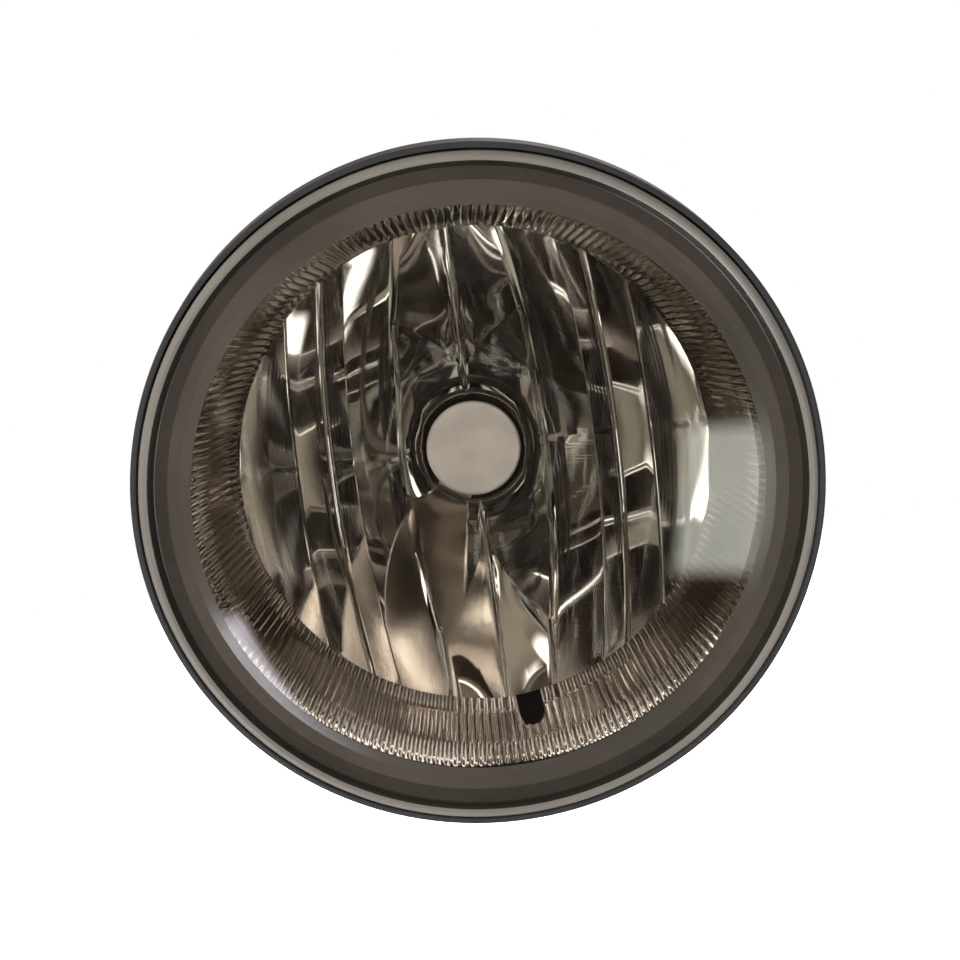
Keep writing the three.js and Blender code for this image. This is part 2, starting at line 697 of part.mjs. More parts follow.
function makeAdjusterScrew() {
  const under = TAB_FRONT + STRAP + GAP + 1.4 + GAP;
  const stem = turned([
    [0, SCREW_FRONT], [THREAD_R - 0.6, SCREW_FRONT], [THREAD_R, SCREW_FRONT + 0.8], [THREAD_R, CLIP_FRONT - GAP],
    [CLIP_GROOVE_R, CLIP_FRONT - GAP], [CLIP_GROOVE_R, CLIP_BACK + GAP], [THREAD_R, CLIP_BACK + GAP],
    [THREAD_R, under], [6.2, under], [6.2, under + 1.3], [0, under + 1.3],
  ]);
  const slot = box(-0.6, 0.6, under + 4.6, under + 7, -6, 6);
  return onAdjuster(cut(join(stem, hexBar(4.6, under + 1, under + 6)), slot));
}

function makeAdjusterClip() {
  const inner = CLIP_GROOVE_R + 0.25;
  const ring = tube(inner, 4.6, CLIP_FRONT, CLIP_BACK);
  return onAdjuster(cut(ring, box(-1.4, 1.4, CLIP_FRONT - 1, CLIP_BACK + 1, -6, 0)));
}

function makeAdjusterNut() {
  const block = box(-EAR_INNER + GAP, EAR_INNER - GAP, NUT_FRONT, NUT_BACK, -NUT_HALF, NUT_HALF);
  const middle = (NUT_FRONT + NUT_BACK) / 2;
  const pins = rod(NUT_PIN_R, -EAR_OUTER - 0.5, EAR_OUTER + 0.5)
    .rotateZ(Math.PI / 2)
    .translate(0, middle, 0);
  return onAdjuster(cut(join(block, pins), rod(THREAD_R + GAP, NUT_FRONT - 1, NUT_BACK + 1)));
}

function makeBulbBase() {
  const neck = LIP_R - GAP;
  const body = turned([
    [0, BACK_WALL_Y + 0.6], [neck, BACK_WALL_Y + 0.6], [neck, FLANGE_FRONT], [FLANGE_R, FLANGE_FRONT],
    [FLANGE_R, FLANGE_BACK], [9.5, FLANGE_BACK], [9.5, CONNECTOR_BACK - 6], [0, CONNECTOR_BACK - 6],
  ], 32);
  const lugs = [];
  for (let i = 0; i < LUG_COUNT; i += 1) {
    lugs.push(sector(LUG_R, BACK_WALL_Y + 0.6, LIP_FRONT - 0.4, lugAngle(i), LUG_SPREAD));
  }
  const elbow = box(-CONNECTOR_HALF, CONNECTOR_HALF, FLANGE_BACK - 0.5, CONNECTOR_BACK, -CONNECTOR_DROP, 7);
  const top = -CONNECTOR_DROP + SOCKET_DEPTH;
  const socket = box(
    -CONNECTOR_HALF + 1.6, CONNECTOR_HALF - 1.6, FLANGE_BACK + 1.6, CONNECTOR_BACK - 1.6,
    -CONNECTOR_DROP - 1, top,
  );
  const latch = box(-2.5, 2.5, CONNECTOR_BACK - 0.2, CONNECTOR_BACK + 1.2, -CONNECTOR_DROP + 5, -CONNECTOR_DROP + 8);
  const bladeSlots = [-1, 1].map((side) => box(...bladeBounds(side, GAP, top - 1)));
  return onAxis(cut(join(body, ...lugs, elbow, latch), socket, ...bladeSlots));
}

function bladeBounds(side, grow, low) {
  const middle = (FLANGE_BACK + CONNECTOR_BACK) / 2;
  const x = side * 3.2;
  return [x - 1.4 - grow, x + 1.4 + grow, middle - 0.4 - grow, middle + 0.4 + grow, low, -3 + grow];
}

function makeTerminal(side) {
  const low = -CONNECTOR_DROP + 4;
  const blade = box(...bladeBounds(side, 0, low + 1.2));
  const [x0, x1, y0, y1] = bladeBounds(side, 0, low);
  const tip = box(x0 + 0.7, x1 - 0.7, y0 + 0.1, y1 - 0.1, low, low + 1.5);
  return onAxis(join(blade, tip));
}

function makeBulbSealRing() {
  const centre = (COLLAR_BACK + FLANGE_FRONT) / 2;
  const sides = 6;
  const ring = [];
  for (let i = 0; i < sides; i += 1) {
    const turn = (i / sides) * 2 * Math.PI;
    ring.push([SEAL_MAJOR + SEAL_MINOR * Math.cos(turn), centre + SEAL_MINOR * Math.sin(turn)]);
  }
  return onAxis(turned(ring, 32));
}

function makeBulbCollar() {
  const back = BACK_WALL_Y + 0.3;
  return onAxis(turned([
    [6.2, 7], [7.2, 7], [7.2, 11], [7.7, 11.5], [7.7, 12.5], [7.2, 13], [7.2, back], [6.2, back],
  ], 24));
}

// Capsule glass, open at the end that sits in the collar.
function makeBulbGlass() {
  const inner = GLASS_R - GLASS_WALL;
  const outerNose = arc(GLASS_R, GLASS_TIP + GLASS_R, 0, Math.PI / 2, 5);
  const innerNose = arc(inner, GLASS_TIP + GLASS_R, 0, Math.PI / 2, 5).reverse();
  return onAxis(turned([...outerNose, [GLASS_R, 16], [inner, 16], ...innerNose], 24));
}

function wire(points, radius, sides, steps) {
  const shape = new THREE.Shape();
  for (let i = 0; i < sides; i += 1) {
    const turn = (i / sides) * Math.PI * 2;
    const [x, y] = [radius * Math.cos(turn), radius * Math.sin(turn)];
    if (i === 0) {
      shape.moveTo(x, y);
    } else {
      shape.lineTo(x, y);
    }
  }
  const path = new THREE.CatmullRomCurve3(points.map((p) => new THREE.Vector3(...p)), false, "centripetal");
  return new THREE.ExtrudeGeometry(shape, { extrudePath: path, steps, bevelEnabled: false });
}

function makeFilament() {
  const turns = 5;
  const perTurn = 8;
  const points = [];
  for (let i = 0; i <= turns * perTurn; i += 1) {
    const turn = (i / perTurn) * Math.PI * 2;
    points.push([0.8 * Math.cos(turn), FILAMENT_Y - 2.4 + (4.8 * i) / (turns * perTurn), 0.8 * Math.sin(turn)]);
  }
  return onAxis(wire(points, 0.22, 4, turns * perTurn));
}

function makeFilamentSupport(side) {
  const tip = side < 0 ? FILAMENT_Y - 2.9 : FILAMENT_Y + 2.9;
  const reach = side < 0 ? tip - 0.4 : tip + 0.4;
  return onAxis(wire([
    [side * 3, BACK_WALL_Y, 0], [side * 3, 8, 0], [side * 3, reach + 2, 0],
    [side * 2.4, reach + 0.4, 0], [side * 1.2, reach, 0], [-side * 0.2, reach, 0],
  ], 0.3, 6, 14));
}

const PARTS = [
  ["lens", makeLens(), "#dfe8e6", 0.05, 0, 0.35],
  ["lens_seal", makeLensSeal(), "#15161a", 0.9, 0],
  ["bezel_ring", makeBezelRing(), "#cfcac4", 0.25, 0.9],
  ["reflector", makeReflector(), "#c9c5bd", 0.12, 1],
  ["bulb_shield", makeBulbShield(), "#a39c8e", 0.45, 0.8],
  ["shield_rivet_1", makeShieldRivet(-1), "#8f8b84", 0.4, 0.9],
  ["shield_rivet_2", makeShieldRivet(1), "#8f8b84", 0.4, 0.9],
  ["housing", makeHousing(), "#1d1e20", 0.6, 0],
  ["reflector_screw_1", makeReflectorScrew(BOSS_ANGLES[0]), "#9a9c9f", 0.35, 0.9],
  ["reflector_screw_2", makeReflectorScrew(BOSS_ANGLES[1]), "#9a9c9f", 0.35, 0.9],
  ["reflector_screw_3", makeReflectorScrew(BOSS_ANGLES[2]), "#9a9c9f", 0.35, 0.9],
  ["vent_cap", makeVentCap(), "#202124", 0.9, 0],
  ["bracket", makeBracket(), "#2a2c2e", 0.5, 0.3],
  ["pivot_bush_left", makePivotBush(-1), "#d8d4c6", 0.55, 0],
  ["pivot_bush_right", makePivotBush(1), "#d8d4c6", 0.55, 0],
  ["pivot_screw_left", makePivotScrew(-1), "#b3b4b0", 0.35, 0.9],
  ["pivot_screw_right", makePivotScrew(1), "#b3b4b0", 0.35, 0.9],
  ["adjuster_grommet", makeAdjusterGrommet(), "#e3dfd2", 0.55, 0],
  ["adjuster_screw", makeAdjusterScrew(), "#b9b294", 0.4, 0.9],
  ["adjuster_clip", makeAdjusterClip(), "#5b5d60", 0.4, 0.9],
  ["adjuster_nut", makeAdjusterNut(), "#dcd8cb", 0.55, 0],
  ["bulb_base", makeBulbBase(), "#2b2b2e", 0.6, 0],
  ["bulb_seal_ring", makeBulbSealRing(), "#7d2f26", 0.8, 0],
  ["bulb_collar", makeBulbCollar(), "#b5b6b6", 0.3, 0.95],
  ["bulb_glass", makeBulbGlass(), "#e8eef0", 0.03, 0, 0.35],
  ["filament", makeFilament(), "#6f6f72", 0.4, 0.9],
  ["filament_support_left", makeFilamentSupport(-1), "#8c8d90", 0.4, 0.9],
  ["filament_support_right", makeFilamentSupport(1), "#8c8d90", 0.4, 0.9],
  ["terminal_left", makeTerminal(-1), "#c3b27a", 0.3, 0.95],
  ["terminal_right", makeTerminal(1), "#c3b27a", 0.3, 0.95],
];

const fogLight = new THREE.Group();
fogLight.name = "fog_light";
PARTS.forEach(([name, geometry, color, roughness, metalness, opacity = 1]) => {
  const material = new THREE.MeshStandardMaterial({ color, roughness, metalness, opacity, transparent: opacity < 1 });
  material.name = name;
  geometry.computeVertexNormals();
  const mesh = new THREE.Mesh(geometry, material);
  mesh.name = name;
  fogLight.add(mesh);
});

export default fogLight;
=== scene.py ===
import json
import math

import bmesh
import bpy
from mathutils import Matrix, Vector

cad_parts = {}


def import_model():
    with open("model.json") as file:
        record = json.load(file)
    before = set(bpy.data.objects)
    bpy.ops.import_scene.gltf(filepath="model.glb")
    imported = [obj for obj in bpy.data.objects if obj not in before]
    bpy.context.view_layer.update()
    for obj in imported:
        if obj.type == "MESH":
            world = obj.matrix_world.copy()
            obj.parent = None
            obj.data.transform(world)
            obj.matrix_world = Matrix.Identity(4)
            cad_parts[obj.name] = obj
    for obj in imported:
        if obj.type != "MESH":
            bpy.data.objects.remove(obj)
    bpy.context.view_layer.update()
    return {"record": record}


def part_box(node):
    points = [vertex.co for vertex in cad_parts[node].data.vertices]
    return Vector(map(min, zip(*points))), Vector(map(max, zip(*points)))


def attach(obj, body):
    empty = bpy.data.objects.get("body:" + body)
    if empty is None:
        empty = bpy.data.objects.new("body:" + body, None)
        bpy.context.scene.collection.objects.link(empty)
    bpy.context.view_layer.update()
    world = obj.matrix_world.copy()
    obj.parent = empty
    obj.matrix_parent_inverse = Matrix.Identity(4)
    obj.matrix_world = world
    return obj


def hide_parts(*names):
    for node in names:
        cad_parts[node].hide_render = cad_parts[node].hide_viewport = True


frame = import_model()

# ---------------------------------------------------------------- places, from the frame (millimetres)
MM = 0.001
TURN = 2 * math.pi


def mid(node):
    low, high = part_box(node)
    return (low + high) * (0.5 / MM)


JOINTS = {joint["name"]: joint for joint in frame["record"]["behaviour"]["joints"]}
PIVOT = Vector(JOINTS["aim_tilt"]["pos_m"]) * (1 / MM)
AXIS_Z = mid("bulb_collar").z
AXIS = Matrix.Translation((0, 0, AXIS_Z))  # Y along the bulb
AIM_AXIS = Matrix.Translation((0, 0, mid("adjuster_screw").z))  # Y along the aim screw
VENT = mid("vent_cap")
VENT_AXIS = Matrix.Translation((VENT.x, 0, VENT.z))  # Y along the breather spigot

# The rim's plane leans back: RIM has its origin at the rim's centre and Y as its depth.
TILT = math.radians(10.8)
RIM_Y, RIM_DROP = -43.0, 7.86
RIM = Matrix.Translation((0, RIM_Y, AXIS_Z - RIM_DROP)) @ Matrix.Rotation(TILT, 4, "X")

# The reflector: its round opening and bulb hole, and the edges of its upright strips.
OPENING_R, OPENING_DROP = 42.0, 2.1
VERTEX_Y, FOCAL, HOLE_R = 11.0, 14.0, 9.7
STRIPS = (0.0, 14.2, 22.3, 26.4, 32.2, 41.94)
SCREW_SPOTS = [(24 * math.cos(math.radians(a)), 24 * math.sin(math.radians(a))) for a in (30, 150, 270)]
SIDES = ((-1, "left"), (1, "right"))

# ---------------------------------------------------------------- materials


class Graph:
    """A small helper to write shader nodes in one line each."""

    def __init__(self, tree):
        self.tree = tree

    def add(self, kind, out=0, inputs=None, **settings):
        node = self.tree.nodes.new(kind)
        for key, value in settings.items():
            setattr(node, key, value)
        for key, value in (inputs or {}).items():
            if isinstance(value, bpy.types.NodeSocket):
                self.tree.links.new(value, node.inputs[key])
            else:
                node.inputs[key].default_value = value
        return node.outputs[out]

    def maths(self, op, a, b=0.0, c=0.0):
        return self.add("ShaderNodeMath", inputs={0: a, 1: b, 2: c}, operation=op)

    def ramp(self, fac, stops):
        node = self.tree.nodes.new("ShaderNodeValToRGB")
        self.tree.links.new(fac, node.inputs[0])
        while len(node.color_ramp.elements) < len(stops):
            node.color_ramp.elements.new(0.5)
        for element, (at, colour) in zip(node.color_ramp.elements, stops):
            element.position = at
            element.color = (*colour, 1)
        return node.outputs[0]


def material(name, tone_a, tone_b, rough, metal, patch, grain, bump, **sockets):
    """Two tones mixed by patches, a roughness that varies with them, and a fine grain in the bump."""
    mat = bpy.data.materials.new(name)
    mat.use_nodes = True
    g = Graph(mat.node_tree)
    shader = mat.node_tree.nodes["Principled BSDF"]
    place = g.add("ShaderNodeTexCoord", out=3)
    patches = g.add("ShaderNodeTexNoise", inputs={"Vector": place, "Scale": patch, "Detail": 5.0})
    fine = g.add("ShaderNodeTexNoise", inputs={"Vector": place, "Scale": grain, "Detail": 4.0})
    tone = g.ramp(patches, [(0.35, tone_a), (0.68, tone_b)])
    spread = g.add("ShaderNodeMapRange", inputs={0: patches, 1: 0.3, 2: 0.7, 3: rough[0], 4: rough[1]})
    mat.node_tree.links.new(tone, shader.inputs["Base Color"])
    mat.node_tree.links.new(spread, shader.inputs["Roughness"])
    relief = g.add("ShaderNodeBump", inputs={"Strength": bump, "Distance": 0.00005, "Height": fine})
    mat.node_tree.links.new(relief, shader.inputs["Normal"])
    shader.inputs["Metallic"].default_value = metal
    for key, value in sockets.items():
        shader.inputs[key.replace("_", " ")].default_value = value
    return mat


def glass(name, colour, ior, rough, wobble):
    mat = bpy.data.materials.new(name)
    mat.use_nodes = True
    g = Graph(mat.node_tree)
    shader = mat.node_tree.nodes["Principled BSDF"]
    shader.inputs["Base Color"].default_value = (*colour, 1)
    shader.inputs["Transmission Weight"].default_value = 1
    shader.inputs["IOR"].default_value = ior
    place = g.add("ShaderNodeTexCoord", out=3)
    waves = g.add("ShaderNodeTexNoise", inputs={"Vector": place, "Scale": 28.0, "Detail": 1.0})
    smear = g.add("ShaderNodeTexNoise", inputs={"Vector": place, "Scale": 45.0, "Detail": 6.0})
    haze = g.add("ShaderNodeMapRange", inputs={0: smear, 1: 0.45, 2: 0.75, 3: 0.0, 4: rough})
    mat.node_tree.links.new(haze, shader.inputs["Roughness"])
    relief = g.add("ShaderNodeBump", inputs={"Strength": wobble, "Distance": 0.0005, "Height": waves})
    mat.node_tree.links.new(relief, shader.inputs["Normal"])
    return mat


def frosted(name, tone_a, tone_b, clear):
    """Moulded glass edge: mostly a satin surface, a little light passes."""
    return material(name, tone_a, tone_b, (0.14, 0.24), 0, 40, 500, 0.06, Transmission_Weight=clear, IOR=1.5)


# After the name and two tones: roughness from and to, metal, scales of patches and grain, bump.
MAT = {
    "lens": glass("lens_glass", (0.958, 0.940, 0.915), 1.5, 0.02, 0.012),
    # One frosted glass in four tones: the bead's lighter tone is a painted highlight, and the groove's and
    # edge's darker tones are painted shade.
    "bead": frosted("lens_bead_painted_highlight", (0.135, 0.125, 0.112), (0.115, 0.105, 0.094), 0.10),
    "groove": frosted("lens_groove_painted_shade", (0.030, 0.025, 0.021), (0.022, 0.018, 0.015), 0.12),
    "band": frosted("lens_band", (0.060, 0.053, 0.044), (0.046, 0.040, 0.033), 0.30),
    "edge": frosted("lens_edge_painted_shade", (0.014, 0.012, 0.010), (0.009, 0.008, 0.007), 0.1),
    "bulb": glass("quartz", (0.97, 0.98, 0.98), 1.46, 0.03, 0.05),
    "mirror": material("aluminised", (0.80, 0.775, 0.735), (0.74, 0.715, 0.675), (0.02, 0.05),
                       1.0, 90, 260, 0.014),
    "flutes": material("aluminised_flutes", (0.52, 0.475, 0.43), (0.42, 0.38, 0.34), (0.05, 0.11),
                       1.0, 110, 700, 0.05),
    "satin": material("satin_plate", (0.66, 0.62, 0.55), (0.58, 0.54, 0.48), (0.45, 0.6),
                      0.75, 220, 1600, 0.2),
    "leg": material("leg_plate", (0.60, 0.56, 0.50), (0.44, 0.38, 0.33), (0.16, 0.26), 1.0, 180, 1400, 0.2),
    "black": material("moulded_black", (0.019, 0.019, 0.020), (0.0255, 0.025, 0.025), (0.42, 0.6),
                      0, 70, 1500, 0.35),
    "rubber": material("dull_rubber", (0.010, 0.010, 0.011), (0.022, 0.021, 0.020), (0.75, 0.9),
                       0, 90, 900, 0.3),
    "coat": material("powder_coat", (0.016, 0.016, 0.018), (0.026, 0.026, 0.028), (0.35, 0.5),
                     0.0, 80, 1100, 0.5),
    "nylon": material("nylon", (0.36, 0.335, 0.27), (0.43, 0.41, 0.34), (0.4, 0.55), 0, 120, 800, 0.15,
                      Subsurface_Weight=0.2, Subsurface_Scale=0.002),
    "zinc": material("zinc_plate", (0.56, 0.57, 0.58), (0.40, 0.41, 0.43), (0.28, 0.45), 1, 260, 900, 0.25),
    "yellow": material("yellow_plate", (0.62, 0.50, 0.24), (0.50, 0.46, 0.36), (0.3, 0.45),
                       1, 200, 900, 0.25),
    "spring": material("spring_steel", (0.07, 0.07, 0.075), (0.12, 0.11, 0.10), (0.35, 0.5),
                       1, 220, 900, 0.2),
    "base": material("glass_filled", (0.022, 0.022, 0.025), (0.036, 0.035, 0.037), (0.4, 0.55),
                     0, 140, 1300, 0.4),
    "silicone": material("silicone", (0.30, 0.030, 0.020), (0.38, 0.050, 0.032), (0.5, 0.65),
                         0, 120, 600, 0.15),
    "bright": material("bright_steel", (0.66, 0.65, 0.63), (0.58, 0.57, 0.56), (0.16, 0.28),
                       1, 160, 900, 0.1),
    "tungsten": material("tungsten", (0.16, 0.16, 0.17), (0.24, 0.23, 0.23), (0.3, 0.45),
                         1, 900, 3000, 0.2),
    "blade": material("tinned_brass", (0.62, 0.52, 0.30), (0.55, 0.50, 0.38), (0.22, 0.36),
                      1, 300, 1400, 0.15),
}

# ---------------------------------------------------------------- mesh tools


def rounded(outline, radius, steps=3, keep_axis=True):
    """The outline with its corners turned into short curves."""
    out = []
    count = len(outline)
    for i, here in enumerate(outline):
        here = Vector(here)
        before, after = Vector(outline[i - 1]), Vector(outline[(i + 1) % count])
        to_a, to_b = before - here, after - here
        straight = to_a.length < 1e-6 or to_b.length < 1e-6 or to_a.angle(to_b) > math.radians(165)
        if straight or (keep_axis and abs(here.x) < 1e-6):
            out.append(tuple(here))
            continue
        reach = min(radius, to_a.length * 0.45, to_b.length * 0.45)
        a, b = here + to_a.normalized() * reach, here + to_b.normalized() * reach
        for k in range(steps + 1):
            t = k / steps
            out.append(tuple(a * (1 - t) ** 2 + here * 2 * t * (1 - t) + b * t * t))
    return out


def lathe(outline, segments):
    """Vertices and faces of an outline [(r, y)] turned about Y."""
    verts, rings = [], []
    for r, y in outline:
        if r < 1e-6:
            rings.append([len(verts)])
            verts.append(Vector((0, y, 0)))
            continue
        ring = []
        for k in range(segments):
            a = TURN * k / segments
            ring.append(len(verts))
            verts.append(Vector((r * math.sin(a), y, r * math.cos(a))))
        rings.append(ring)
    faces = []
    closed = not (abs(outline[0][0]) < 1e-6 and abs(outline[-1][0]) < 1e-6)
    pairs = list(zip(rings, rings[1:] + rings[:1])) if closed else list(zip(rings, rings[1:]))
    for one, two in pairs:
        if len(one) == 1 and len(two) == 1:
            continue
        for k in range(segments):
            n = (k + 1) % segments
            if len(one) == 1:
                faces.append((one[0], two[n], two[k]))
            elif len(two) == 1:
                faces.append((one[k], one[n], two[0]))
            else:
                faces.append((one[k], one[n], two[n], two[k]))
    return verts, faces


def rod(radius, low, high, segments=48, soft=0.0):
    outline = [(0, low), (radius, low), (radius, high), (0, high)]
    return lathe(rounded(outline, soft, 4) if soft else outline, segments)


def extrude(outline, low, high, along="Y"):
    """A flat outline thickened from low to high along one axis; its points have the other two."""
    at = "XYZ".index(along)
    n = len(outline)
    verts = [Vector((*p[:at], level, *p[at:])) for level in (low, high) for p in outline]
    faces = [tuple(range(n)), tuple(range(2 * n - 1, n - 1, -1))]
    faces += [(i, n + i, n + (i + 1) % n, (i + 1) % n) for i in range(n)]
    return verts, faces


def block(low, high):
    (x0, y0, z0), (x1, y1, z1) = low, high
    return extrude([(x0, z0), (x1, z0), (x1, z1), (x0, z1)], y0, y1)


def grid(rows, wrap_rows=False, wrap_cols=False):
    """Vertices and faces over rows of points, all the same length."""
    count = len(rows[0])
    verts = [p for row in rows for p in row]
    faces = []
    for i in range(len(rows) if wrap_rows else len(rows) - 1):
        for j in range(count if wrap_cols else count - 1):
            a, b = i * count + j, i * count + (j + 1) % count
            c, d = ((i + 1) % len(rows)) * count + (j + 1) % count, ((i + 1) % len(rows)) * count + j
            faces.append((a, b, c, d))
    return verts, faces


def slab(rows, depth):
    """A thin closed plate: rows of points, and the same rows set back along Y."""
    verts, faces = grid(rows)
    count, wide = len(verts), len(rows[0])
    verts = verts + [v + Vector((0, depth, 0)) for v in verts]
    faces += [tuple(i + count for i in reversed(f)) for f in faces]
    rim = [*range(wide), *range(2 * wide - 1, count, wide), *range(count - 2, count - wide - 1, -1),
           *range(count - 2 * wide, 0, -wide)]
    faces += [(a, a + count, b + count, b) for a, b in zip(rim, rim[1:] + rim[:1])]
    return verts, faces


def tube(points, radius, sides):
    """A round wire through points, with flat ends."""
    rows = []
    side = None
    for i, p in enumerate(points):
        before, after = points[max(i - 1, 0)], points[min(i + 1, len(points) - 1)]
        along = (after - before).normalized()
        if side is None:
            side = along.orthogonal().normalized()
        side = (side - along * side.dot(along)).normalized()
        other = along.cross(side)
        rows.append([p + (side * math.cos(TURN * k / sides) + other * math.sin(TURN * k / sides)) * radius
                     for k in range(sides)])
    verts, faces = grid(rows, wrap_cols=True)
    faces += [tuple(range(sides)), tuple(range(len(verts) - 1, len(verts) - sides - 1, -1))]
    return verts, faces


def smooth_path(points, steps=6):
    """The points with a Catmull-Rom curve through them."""
    ends = [points[0], *points, points[-1]]
    out = []
    for a, b, c, d in zip(ends, ends[1:], ends[2:], ends[3:]):
        for k in range(steps):
            t = k / steps
            out.append(0.5 * (2 * b + (c - a) * t + (2 * a - 5 * b + 4 * c - d) * t * t
                              + (3 * b - a - 3 * c + d) * t ** 3))
    return out + [points[-1]]


def raw(name, shells, place=None):
    """One mesh object from several (verts, faces) shells given in millimetres."""
    bm = bmesh.new()
    for verts, faces in shells:
        made = [bm.verts.new((place @ Vector(v) if place else Vector(v)) * MM) for v in verts]
        for f in faces:
            try:
                bm.faces.new([made[i] for i in f])
            except ValueError:
                continue
    bmesh.ops.recalc_face_normals(bm, faces=bm.faces)
    mesh = bpy.data.meshes.new(name)
    bm.to_mesh(mesh)
    bm.free()
    obj = bpy.data.objects.new(name, mesh)
    bpy.context.scene.collection.objects.link(obj)
    return obj


def carve(obj, cutters, operation="DIFFERENCE"):
    """Cuts, joins or intersects obj with other objects, and removes them."""
    for cutter in cutters:
        mod = obj.modifiers.new("cut", "BOOLEAN")
        mod.object, mod.operation, mod.solver = cutter, operation, "EXACT"
    bpy.context.view_layer.update()
    mesh = bpy.data.meshes.new_from_object(obj.evaluated_get(bpy.context.evaluated_depsgraph_get()))
    obj.modifiers.clear()
    obj.data = mesh
    for cutter in cutters:
        bpy.data.objects.remove(cutter)
    return obj


def piece(obj, node, body, mat, angle=38, bevel=0.0):
    """Finishes a piece: edges, shading, material, body and the node it stands for."""
    mesh = obj.data
    mesh.shade_smooth()
    mesh.set_sharp_from_angle(angle=math.radians(angle))
    if bevel:
        mod = obj.modifiers.new("edges", "BEVEL")
        mod.width, mod.segments, mod.limit_method = bevel * MM, 3, "ANGLE"
        mod.angle_limit = math.radians(angle)
        mod.use_clamp_overlap = True
        mod.miter_outer = "MITER_ARC"
        obj.modifiers.new("normals", "WEIGHTED_NORMAL").keep_sharp = True
    mesh.materials.clear()
    mesh.materials.append(MAT[mat])
    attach(obj, body)
    if node:
        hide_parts(node)
    return obj

# ---------------------------------------------------------------- lens and rim
GROOVE_R, GROOVE_DEPTH = 51.5, 1.8
CROWN, LENS_THICK = 7.5, 2.8
# The moulded border, as it lies in the lens's material slots: each starts this far from the rim's centre. The
# bead's lighter tone is a painted highlight, and the groove's and edge's darker tones are painted shade.
BORDER = (("bead", 56.9), ("groove", 53.6), ("edge", 56.0), ("band", 50.4))


def dome(r):
    """Depth of the front of the glass behind the rim's plane."""
    rise = CROWN + GROOVE_DEPTH
    ball = (GROOVE_R ** 2 + rise ** 2) / (2 * rise)
    return ball - CROWN - math.sqrt(ball ** 2 - r ** 2)


def lens_outline():
    """Half section of the glass: domed front, flat groove, bead, edge, and the back."""
    steps = 26
    front = [(GROOVE_R * i / steps, dome(GROOVE_R * i / steps)) for i in range(steps)]
    edge = rounded([(51.4, 1.8), (56.0, 1.8), (56.7, 0.5), (57.7, 0.0), (58.55, 0.9), (58.6, 6.0),
                    (56.0, 6.0), (55.95, 4.45), (51.6, 4.6)], 0.5, 4, False)[5:]
    back = [(r, y + LENS_THICK) for r, y in front][::-1]
    return front + [(51.4, 1.78), (51.4, 1.8), (53.6, 1.85)] + edge + back


def lens():
    obj = piece(raw("lens_clear", [lathe(lens_outline(), 192)], RIM), "lens", "lamp", "lens", 60)
    obj.visible_shadow = False
    for mat, _ in BORDER:
        obj.data.materials.append(MAT[mat])
    centre = RIM.translation * MM
    # Each face takes its border zone's tone, which puts the painted highlight on the bead and painted shade
    # on the groove and edge.
    for face in obj.data.polygons:
        reach = (face.center - centre).length / MM
        passed = [(start, index) for index, (_, start) in enumerate(BORDER, 1) if reach > start]
        face.material_index = max(passed)[1] if passed else 0


lens()
seal = rounded([(55.9, 6.3), (57.2, 6.7), (58.6, 6.3), (58.6, 8.0), (55.9, 8.0)], 0.35, 4, False)
piece(raw("lens_gasket", [lathe(seal, 128)], RIM), "lens_seal", "lamp", "rubber", 50)


# ---------------------------------------------------------------- reflector
LAST_STRIP = 43.5  # where the outermost strip would end, past the opening
SPLIT_SLOPE = 0.012
PLATE, BACK_GAP, BACK = 0.35, 0.75, 0.8  # the strips' thickness, the gap behind them, and the shell behind

# By half, upper (1) or lower (-1). The creased fans start where |z| = start + spread * sqrt(u).
FAN = {1: (11.5, 3.6), -1: (10.5, 6.2)}
FAN_LEAN = {1: 0.10, -1: -0.16}
STRIP_SAG = {1: (0.16, 0.17, 0.05, 0.09, 0.30), -1: (0.16, 0.18, 0.06, 0.10, 0.28)}
# By side, right (1) or left (-1).
SLANT = {1: (0.0, 0.055, -0.075, 0.070, -0.020), -1: (0.0, -0.050, 0.080, -0.060, 0.015)}
BOW = 0.0027  # how far the strips bow outward, per square millimetre of height
LOBE, LOBE_REACH = 0.42, 13.0


def across(x, z):
    """Strip coordinate u: the strips bow outward at mid height."""
    return abs(x) + BOW * z * z


def facet(x, z):
    """Depth of the reflecting surface: a paraboloid of upright strips, split at mid height."""
    u = across(x, z)
    half = 1 if z >= 0 else -1
    y = VERTEX_Y - (x * x + z * z) / (4 * FOCAL) - SPLIT_SLOPE * abs(z)
    slants = SLANT[1 if x >= 0 else -1]
    for near, far, sag, slant in zip(STRIPS, (*STRIPS[1:-1], LAST_STRIP), STRIP_SAG[half], slants):
        if near <= u <= far:
            t = (2 * u - near - far) / (far - near)
            y -= sag * (1 - t * t) - slant * (u - far if slant > 0 else u - near)
    t = math.hypot(x, z) - HOLE_R
    if 0 <= t < LOBE_REACH and u < STRIPS[1]:
        y += LOBE * t * (1 - t / LOBE_REACH) ** 2 * (1 - (u / STRIPS[1]) ** 6)
    start, spread = FAN[half]
    crease = start + spread * math.sqrt(max(u, 0))
    if u < STRIPS[1] and abs(z) > crease:
        y += FAN_LEAN[half] * (abs(z) - crease) * (1 - (u / STRIPS[1]) ** 4)
    return y


def solve(low, high, inside):
    """The last z from low, where inside is true, towards high."""
    for _ in range(40):
        middle = (low + high) / 2
        if inside(middle):
            low = middle
        else:
            high = middle
    return low


